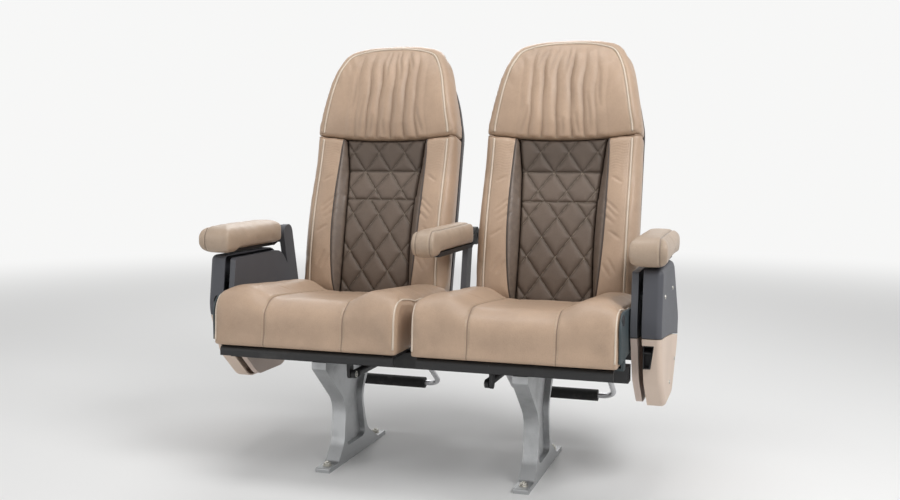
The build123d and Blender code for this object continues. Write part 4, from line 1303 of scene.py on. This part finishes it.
def piping(name, line, radius):
    """A tube with closed ends along a line of points."""
    curve = bpy.data.curves.new(name, "CURVE")
    curve.dimensions = "3D"
    curve.bevel_depth = radius
    curve.bevel_resolution = 3
    curve.use_fill_caps = True
    spline = curve.splines.new("POLY")
    spline.points.add(len(line) - 1)
    for point, place in zip(spline.points, line):
        point.co = (*place, 1.0)
    thing = bpy.data.objects.new(name, curve)
    scene.collection.objects.link(thing)
    graph = bpy.context.evaluated_depsgraph_get()
    mesh = bpy.data.meshes.new_from_object(thing.evaluated_get(graph))
    bpy.data.objects.remove(thing)
    with opened(mesh) as bm:
        bmesh.ops.remove_doubles(bm, verts=bm.verts, dist=1e-6)
        bmesh.ops.recalc_face_normals(bm, faces=bm.faces)
    write_seam(mesh, NO_SEAM, 0.0)
    return mesh


def evened(values):
    """Values along a line, each averaged with three neighbours on both sides."""
    return np.convolve(np.pad(values, 3, mode="edge"), np.full(7, 1 / 7), mode="valid")


def laid_on(tree, line, lift):
    """A flat line on the backrest, laid on a pad and raised by a little."""
    heights = evened([front_of(tree, x, u) for x, u in line])
    return [(x, u, height + lift) for (x, u), height in zip(line, heights)]


bolster_tree = tree_of(bolster_mesh)
for side, side_name in SIDES:
    u = np.linspace(LEAF_PIPE_FOOT, LEAF_PIPE_TOP, LINE_POINTS)
    line = np.column_stack([side * (quilt_half(u) + leaf_width(u)), u])
    pipe = piping("leaf_piping", laid_on(bolster_tree, line, DARK_LIFT), DARK_PIPE)
    put_on_backs(pipe, f"leaf_piping_{side_name}", dark_welt_leather, "quilted_leather")
print("piping points", len(line))

# %% [markdown]
# A pale welt is caught in the seam of the perimeter band. Its pale tone is a painted highlight, which
# stands for the sky's reflection along the band's edge. It runs over the crown and down both sides, and
# it is what outlines the seat from a distance. Its line is the backrest's outline, drawn in by the width
# of the band. The headrest and the bolsters are sewn apart, so each has its own length of it.

# %% Perimeter welt
PALE_PIPE, PALE_LIFT = 2.9 * MM, 0.9 * MM
WELT_STEP, WELT_STOP = 5 * MM, 6 * MM


def drawn_in(outline, distance):
    """A closed outline moved inward, with its points at an even spacing."""
    closed = np.vstack([outline, outline[:1]])
    run = np.concatenate([[0.0], np.cumsum(np.linalg.norm(np.diff(closed, axis=0), axis=1))])
    places = np.arange(0.0, run[-1], WELT_STEP)
    even = np.column_stack([np.interp(places, run, closed[:, axis]) for axis in (0, 1)])
    step = np.roll(even, -1, axis=0) - np.roll(even, 1, axis=0)
    step /= np.linalg.norm(step, axis=1, keepdims=True)
    return even + np.column_stack([-step[:, 1], step[:, 0]]) * distance


welt_ring = drawn_in(band_outline, BAND_WIDTH)
above_seam = welt_ring[:, 1] - seam_height(welt_ring[:, 0])
above_foot = welt_ring[:, 1] > FOOT_U + WELT_STOP
on_headrest = welt_ring[above_seam > WELT_STOP]
on_headrest = filled_out(np.column_stack([on_headrest, np.full(len(on_headrest), PAD_TOP)]))[:, :2]
pipe = piping("headrest_welt", laid_on(tree_of(headrest_mesh), on_headrest, PALE_LIFT), PALE_PIPE)
put_on_backs(pipe, "headrest_welt", welt_highlight_leather, "seat_leather")
for side, side_name in SIDES:
    on_bolster = (above_seam < -WELT_STOP) & above_foot & (welt_ring[:, 0] * side > 0)
    pipe = piping("bolster_welt", laid_on(bolster_tree, welt_ring[on_bolster], PALE_LIFT), PALE_PIPE)
    put_on_backs(pipe, f"bolster_welt_{side_name}", welt_highlight_leather, "seat_leather")
print("welt points", len(welt_ring))

# %% [markdown]
# ## The seat cushions
#
# A cushion is three panels of leather over one block of foam. The middle panel is low and gently crowned,
# and its two seams run from front to back. Outside them the leather climbs to the bolsters in a smooth
# curve, although the block under it has a plain step. Sitting leaves two shallow hollows and a few
# creases that spread from the rear corners.

# %% Cushion block
SEAT_X = 270 * MM
PANEL_HALF, CUSHION_HALF = 108 * MM, 252 * MM
CUSHION_FOOT_Z, NOSE_Y, NOSE_Z = 348 * MM, -320 * MM, 472 * MM
CUSHION_REAR_Y, BOLSTER_REAR_Y, REAR_Z = 146 * MM, 129 * MM, 440 * MM
NOSE_RADIUS, CLIMB_WIDTH = 55 * MM, 62 * MM
CUSHION_VOXEL, CUSHION_SHRINK, CUSHION_SWELL = 7.0 * MM, 2.0 * MM, 9 * MM


def cushion_place(seat):
    """Matrix from a cushion's own middle to the frame."""
    return Matrix.Translation((SEAT_X if seat == "aisle" else -SEAT_X, 0, 0))


cushion = even_copy("cushion_aisle", cushion_place("aisle"), CUSHION_VOXEL, CUSHION_SHRINK, rounds=5)
points = points_of(cushion)
x, y, z = points.T
middle_top = np.interp(y, [NOSE_Y, CUSHION_REAR_Y], [NOSE_Z, REAR_Z])
nose_curve = np.sqrt(np.maximum(NOSE_RADIUS**2 - (y - NOSE_Y - NOSE_RADIUS) ** 2, 0))
middle_top = np.where(y < NOSE_Y + NOSE_RADIUS, middle_top - NOSE_RADIUS + nose_curve, middle_top)
above = np.maximum(z - middle_top, 0)
climb = rise(np.abs(x), PANEL_HALF - 4 * MM, PANEL_HALF + CLIMB_WIDTH)
points[:, 2] = z - above * (1 - climb)
set_points(cushion, points)
inflate(cushion, points[:, 2] < CUSHION_FOOT_Z + 12 * MM, CUSHION_SWELL, ironing=9)
print("cushion points", len(points))

# %% [markdown]
# The seams, hollows and creases are pressed into the top. Last, the points are kept within the solid of
# the frame behind, beside and below, so that the leather stays clear of the consoles and the backrest.

# %% Cushion leather
HOLLOW_X, HOLLOW_Y, HOLLOW_DEPTH = 62 * MM, 20 * MM, 4.5 * MM
HOLLOW_WIDE, HOLLOW_LONG = 62 * MM, 105 * MM
SIDE_GAP = 0.2 * MM
CUSHION_SEAM_WIDTH, CUSHION_SEAM_DEPTH = 3.4 * MM, 3.0 * MM
CREASE_WIDTH, CREASE_DEPTH, RIPPLE = 4.0 * MM, 1.7 * MM, 0.35 * MM
CUSHION_CREASES = [
    (0.060, 0.125, 0.020, 0.070), (0.088, 0.118, 0.062, 0.060), (-0.070, 0.125, -0.024, 0.078),
    (-0.092, 0.112, -0.060, 0.050), (0.030, 0.020, 0.075, 0.000), (-0.075, 0.010, -0.028, -0.010),
    (0.170, 0.080, 0.215, 0.060), (0.165, 0.030, 0.205, 0.000), (-0.170, 0.080, -0.212, 0.055),
    (-0.165, -0.010, -0.200, -0.040), (0.125, -0.120, 0.160, -0.150), (-0.125, -0.110, -0.158, -0.150),
]

points, normals = refine(cushion)
x, y, z = points.T
open_face = rise(np.maximum(normals[:, 2], -normals[:, 1]), 0.2, 0.7) * rise(z, 360 * MM, 400 * MM)
seam_distance = np.abs(x) - PANEL_HALF
shift = -groove(seam_distance, CUSHION_SEAM_WIDTH) * CUSHION_SEAM_DEPTH * open_face
top_face = rise(normals[:, 2], 0.4, 0.8)
for hollow_x in (-HOLLOW_X, HOLLOW_X):
    hollow = np.exp(-((x - hollow_x) / HOLLOW_WIDE) ** 2 - ((y - HOLLOW_Y) / HOLLOW_LONG) ** 2)
    shift -= HOLLOW_DEPTH * hollow * top_face
shift -= creases(points[:, :2], CUSHION_CREASES, CREASE_WIDTH) * CREASE_DEPTH * top_face
ripple = np.sin(y * 190 + 2.0 * np.sin(x * 37)) * rise(np.abs(seam_distance), 22 * MM, 2 * MM)
shift += RIPPLE * ripple * top_face
points += normals * shift[:, None]
rear_limit = np.where(np.abs(points[:, 0]) > PANEL_HALF, BOLSTER_REAR_Y, CUSHION_REAR_Y)
points[:, 1] = np.minimum(points[:, 1], rear_limit)
points[:, 0] = np.clip(points[:, 0], SIDE_GAP - CUSHION_HALF, CUSHION_HALF - SIDE_GAP)
points[:, 2] = np.maximum(points[:, 2], CUSHION_FOOT_Z + SIDE_GAP)
set_points(cushion, points)
write_seam(cushion.data, seam_distance, points[:, 1] - points[:, 2])
cushion_mesh = take(cushion)
put_on_both(
    cushion_mesh, "cushion_cover", seat_leather, "seat_leather", "base", cushion_place,
    fill=0.7, stands_for=["cushion"],
)
print("cushion faces", len(cushion_mesh.polygons))

# %% [markdown]
# A pale piping follows each side of the cushion where the top panel meets the side panel. Its pale tone is
# a painted highlight along that edge. Its line is found on the cushion itself: rays go in from all round
# the front and the top of the side, towards a point inside the foam, and the piping runs through the places
# where they meet the leather.

# %% Cushion piping
CUSHION_PIPE, CUSHION_LIFT = 2.6 * MM, 0.4 * MM
CORNER_IN, PIVOT_Y, PIVOT_Z = 7 * MM, -60 * MM, 330 * MM
FIRST_TURN, LAST_TURN = math.radians(8), math.radians(130)
RAY_LENGTH = 600 * MM

cushion_tree = tree_of(cushion_mesh)
for side, side_name in SIDES:
    pivot = Vector((side * (CUSHION_HALF - CORNER_IN), PIVOT_Y, PIVOT_Z))
    turns = np.linspace(FIRST_TURN, LAST_TURN, LINE_POINTS)
    rays = [Vector((0, -math.cos(turn), math.sin(turn))) for turn in turns]
    hits = [cushion_tree.ray_cast(pivot + ray * RAY_LENGTH, -ray)[0] for ray in rays]
    reach = evened([(hit - pivot).length for hit in hits])
    line = [tuple(pivot + ray * (length + CUSHION_LIFT)) for ray, length in zip(rays, reach)]
    pipe = piping("cushion_piping", line, CUSHION_PIPE)
    put_on_both(pipe, f"cushion_piping_{side_name}", welt_highlight_leather, "seat_leather", "base", cushion_place)
print("piping points", len(line))

# %% [markdown]
# ## Armrest pads
#
# Each pad is a soft barrel round a rigid bar. Its leather has a ring seam near the outer end, where the
# cover's side panel is sewn on. The edges of the plain solid are rounded first, as a sleeve of leather
# rounds the corners of foam, then the pad is blown up a little.

# %% Armrest pads
ARM_LOW_Z, ARM_MIDDLE_Z, ARM_BAR_TOP = 575 * MM, 612 * MM, 587 * MM
ARM_VOXEL, ARM_SHRINK, ARM_SWELL = 5.0 * MM, 1.5 * MM, 3.5 * MM
ARM_NOSE, ARM_TURN, ARM_FREE = 38 * MM, 36 * MM, 55 * MM
OUTER_ROUND, CENTRE_ROUND = 31 * MM, 25 * MM
OUTER_RING, CENTRE_RING = 20 * MM, 14 * MM
RING_WIDTH, RING_DEPTH, WOBBLE = 2.6 * MM, 2.4 * MM, 0.5 * MM


def round_edges(points, low, high, radius):
    """Pulls the points of a box in, so that its long edges get that radius. Works on x and z."""
    centre, half = (low + high) / 2, (high - low) / 2
    beyond = np.maximum(np.abs(points - centre) - (half - radius), 0)
    beyond[:, 1] = 0
    size = np.linalg.norm(beyond, axis=1)
    keep = np.minimum(1.0, radius / np.maximum(size, TINY))
    return points - beyond * (1 - keep)[:, None] * np.sign(points - centre)


def arm_cover(node, ring_x, radius):
    """A padded cover with a ring seam in each plane x = ring_x."""
    cover = even_copy(node, Matrix.Identity(4), ARM_VOXEL, ARM_SHRINK, rounds=3)
    low, high = (np.array(corner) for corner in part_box(node))
    points = round_edges(points_of(cover), low, high, radius)
    set_points(cover, points)
    pinned = (points[:, 2] < ARM_BAR_TOP + 1 * MM) & (points[:, 1] > low[1] + ARM_FREE)
    inflate(cover, pinned, ARM_SWELL, ironing=4)
    points, normals = refine(cover)
    x, y, z = points.T
    rings = np.min([np.abs(x - place) for place in ring_x], axis=0)
    shift = -groove(rings, RING_WIDTH) * RING_DEPTH * rise(z, ARM_LOW_Z + 8 * MM, ARM_LOW_Z + 22 * MM)
    wobble = np.sin(y * 95 + 1.5 * np.sin(x * 60)) * np.sin(y * 41)
    shift += WOBBLE * wobble * rise(normals[:, 2], 0.0, 0.5)
    points += normals * shift[:, None]
    set_points(cover, points)
    nose_y = low[1] + ARM_NOSE
    round_nose = np.arctan2(z - ARM_MIDDLE_Z, y - nose_y) * ARM_TURN
    write_seam(cover.data, rings, np.where(y > nose_y, y, round_nose))
    return take(cover)


def unmoved(seat):
    """An armrest's cover is made in its place, so its matrix does nothing."""
    return Matrix.Identity(4)


outer_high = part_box("arm_pad_aisle")[1]
outer_mesh = arm_cover("arm_pad_aisle", [outer_high.x - OUTER_RING], OUTER_ROUND)
put_on_both(
    outer_mesh, "arm_cover", pad_leather, "armrest_skin", "{}_armrest", unmoved,
    fill=0.8, stands_for=["arm_pad"],
)
centre_low, centre_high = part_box("arm_pad_centre")
centre_rings = [centre_high.x - CENTRE_RING, centre_low.x + CENTRE_RING]
centre_mesh = arm_cover("arm_pad_centre", centre_rings, CENTRE_ROUND)
put(
    centre_mesh, "arm_cover_centre", pad_leather, "centre_armrest", Matrix.Identity(4),
    stands_for=["arm_pad_centre"],
)
print("armrest faces", len(outer_mesh.polygons), len(centre_mesh.polygons))

# %% [markdown]
# ## Fixings
#
# A seat is held by a few dozen small fixings, and their glints tell the eye how it is put together.
# Bolts clamp the feet to the floor over washers, screws hold the covers, and clips keep the pins in their
# eyes. Each kind is modelled once, at the origin and pointing up, and a matrix sets every copy in place.
# A kind is a stack of discs. A disc's row gives its low and its high side, its radius at both, its number
# of sides, and the rounding of its upper edge, all lengths in millimetres.

# %% Kinds of fixing
ROUND, HEXAGON, FINE = 32, 6, 48
SHARP = math.radians(35)
FIXINGS = {
    "floor_bolt": (
        (0.0, 2.0, 12.0, 12.0, ROUND, 0.5), (2.0, 8.5, 9.6, 9.6, HEXAGON, 0.8),
        (8.5, 12.0, 4.6, 4.6, ROUND, 0.7),
    ),
    "cover_screw": ((0.0, 2.4, 5.6, 4.6, ROUND, 0.8),),
    "shaft_nut": ((0.0, 1.2, 14.5, 14.5, ROUND, 0.4), (1.2, 6.5, 13.0, 13.0, HEXAGON, 0.9)),
    "pin_clip": ((0.0, 1.2, 8.0, 8.0, ROUND, 0.4), (1.2, 2.2, 3.6, 3.6, ROUND, 0.4)),
    "pivot_cap": ((0.0, 5.0, 13.5, 12.5, FINE, 1.4),),
    "shield_cap": ((0.0, 2.6, 13.0, 12.0, FINE, 1.2),),
}
SCREW_HIGH, SOCKET_WALL, SOCKET_DEPTH = 2.4 * MM, 2.07 * MM, 1.4 * MM


def disc(bm, low, high, radius, top_radius, sides, bevel):
    """Adds an upright disc or a cone's stump from low to high, whose upper edge is rounded."""
    made = bmesh.ops.create_cone(
        bm, cap_ends=True, segments=sides, radius1=radius, radius2=top_radius, depth=high - low,
        matrix=Matrix.Translation((0, 0, (low + high) / 2)),
    )["verts"]
    edges = {edge for point in made for edge in point.link_edges}
    top = [edge for edge in edges if all(abs(point.co.z - high) < 1e-7 for point in edge.verts)]
    bmesh.ops.bevel(bm, geom=top, offset=bevel, segments=3, profile=0.5, affect="EDGES", material=-1)


def sink_socket(bm, high, wall, depth):
    """Sinks a round socket into the top face at that height, inside a wall."""
    level = [face for face in bm.faces if abs(face.calc_center_median().z - high) < 1e-6]
    top = max(level, key=lambda face: face.calc_area())
    bmesh.ops.inset_individual(bm, faces=[top], thickness=wall)
    bmesh.ops.translate(bm, vec=(0, 0, -depth), verts=list(top.verts))


fixings = {}
for kind, discs in FIXINGS.items():
    fixings[kind] = bpy.data.meshes.new(kind)
    with opened(fixings[kind]) as bm:
        for low, high, radius, top_radius, sides, bevel in discs:
            disc(bm, low * MM, high * MM, radius * MM, top_radius * MM, sides, bevel * MM)
        if kind == "cover_screw":
            sink_socket(bm, SCREW_HIGH, SOCKET_WALL, SOCKET_DEPTH)
        bmesh.ops.recalc_face_normals(bm, faces=bm.faces)
    fixings[kind].shade_smooth()
    fixings[kind].set_sharp_from_angle(angle=SHARP)
print("kinds of fixing", len(fixings))

# %% [markdown]
# The places follow the frame: bolts over the legs' feet, screws in the console's cover and the rear
# shell, nuts on the shaft's ends, and clips on the ends of the struts' pins and the footrests' tubes. The
# screws' places are pairs in millimetres: y and z on the console, x and u on the shell.

# %% Fixings in their places
BOLT_Y, FOOT_TOP = 170 * MM, 12 * MM
COVER_X, SHAFT_END_X, SHIELD_X, ARM_PIVOT_X = 605.6 * MM, 548 * MM, 528 * MM, 592.3 * MM
SHAFT, SHIELD_CORNER, ARM_PIVOT = (190 * MM, 370 * MM), (-282 * MM, 462 * MM), (135 * MM, 606 * MM)
CLIP_X, STRUT_FRONT, STRUT_REAR = 174.4 * MM, (-190 * MM, 271.1 * MM), (210.8 * MM, 272.2 * MM)
FOOTREST_CLIP_X, FOOTREST_PIVOT = 141.7 * MM, (132 * MM, 284 * MM)
COVER_SCREWS = ((-130, 500), (50, 500), (10, 262), (130, 300))
SHELL_SCREWS, SHELL_BACK = ((-192, 92), (192, 92), (-150, 690), (150, 690)), -45.6 * MM


def fix(kind, name, body, place, toward, within=Matrix.Identity(4)):
    """A fixing at a place, with its top towards a direction, both taken within a matrix."""
    finish, slot = (dark_plastic, "dark_plastic") if "cap" in kind else (zinc, "bright_steel")
    turn = Vector(toward).to_track_quat("Z", "Y").to_matrix().to_4x4()
    put(fixings[kind], name, finish, body, within @ Matrix.Translation(place) @ turn)


for side, seat in ((1, "aisle"), (-1, "window")):
    outward, inward = (side, 0, 0), (-side, 0, 0)
    backrest = f"{seat}_backrest"
    for number, y in enumerate((-BOLT_Y, BOLT_Y)):
        fix("floor_bolt", f"floor_bolt_{seat}_{number}", "base", (side * SEAT_X, y, FOOT_TOP), (0, 0, 1))
    for number, (y, z) in enumerate(COVER_SCREWS):
        place = (side * COVER_X, y * MM, z * MM)
        fix("cover_screw", f"cover_screw_{seat}_{number}", "base", place, outward)
    fix("shaft_nut", f"shaft_nut_{seat}", "base", (side * SHAFT_END_X, *SHAFT), outward)
    fix("shield_cap", f"shield_cap_{seat}", "base", (side * SHIELD_X, *SHIELD_CORNER), outward)
    fix("pivot_cap", f"arm_pivot_cap_{seat}", "base", (side * ARM_PIVOT_X, *ARM_PIVOT), outward)
    fix("pin_clip", f"strut_clip_front_{seat}", "base", (side * CLIP_X, *STRUT_FRONT), inward)
    fix("pin_clip", f"strut_clip_rear_{seat}", backrest, (side * CLIP_X, *STRUT_REAR), inward)
    for end in (-1, 1):
        place = (side * SEAT_X + end * FOOTREST_CLIP_X, *FOOTREST_PIVOT)
        fix("pin_clip", f"footrest_clip_{seat}_{end + 1}", "base", place, (-end, 0, 0))
    for number, (x, u) in enumerate(SHELL_SCREWS):
        place = (x * MM, u * MM, SHELL_BACK)
        fix("cover_screw", f"shell_screw_{seat}_{number}", backrest, place, (0, 0, -1), back_place(seat))

# %% [markdown]
# ## The pocket's hem
#
# The mouth of the literature pocket is bound with a hem round a cord, which keeps it from fraying and
# springs it shut. It runs down one side wall, along the mouth and back.

# %% Pocket hem
HEM_RADIUS = 2.6 * MM
POCKET_HALF, MOUTH_U, MOUTH_N, SHELL_N = 168.7 * MM, 300.4 * MM, -86.7 * MM, -47.0 * MM
CORNER = 5 * MM
NEAR_CORNER = 0.3 * CORNER
half_line = [
    (POCKET_HALF, MOUTH_U, SHELL_N), (POCKET_HALF, MOUTH_U, MOUTH_N + CORNER),
    (POCKET_HALF - NEAR_CORNER, MOUTH_U, MOUTH_N + NEAR_CORNER), (POCKET_HALF - CORNER, MOUTH_U, MOUTH_N),
]
hem_line = half_line + [(-x, u, n) for x, u, n in reversed(half_line)]
put_on_backs(piping("pocket_hem", hem_line, HEM_RADIUS), "pocket_hem", dark_plastic, "pocket_fabric")
print("hem length", round(2 * (POCKET_HALF + abs(MOUTH_N - SHELL_N)), 3))
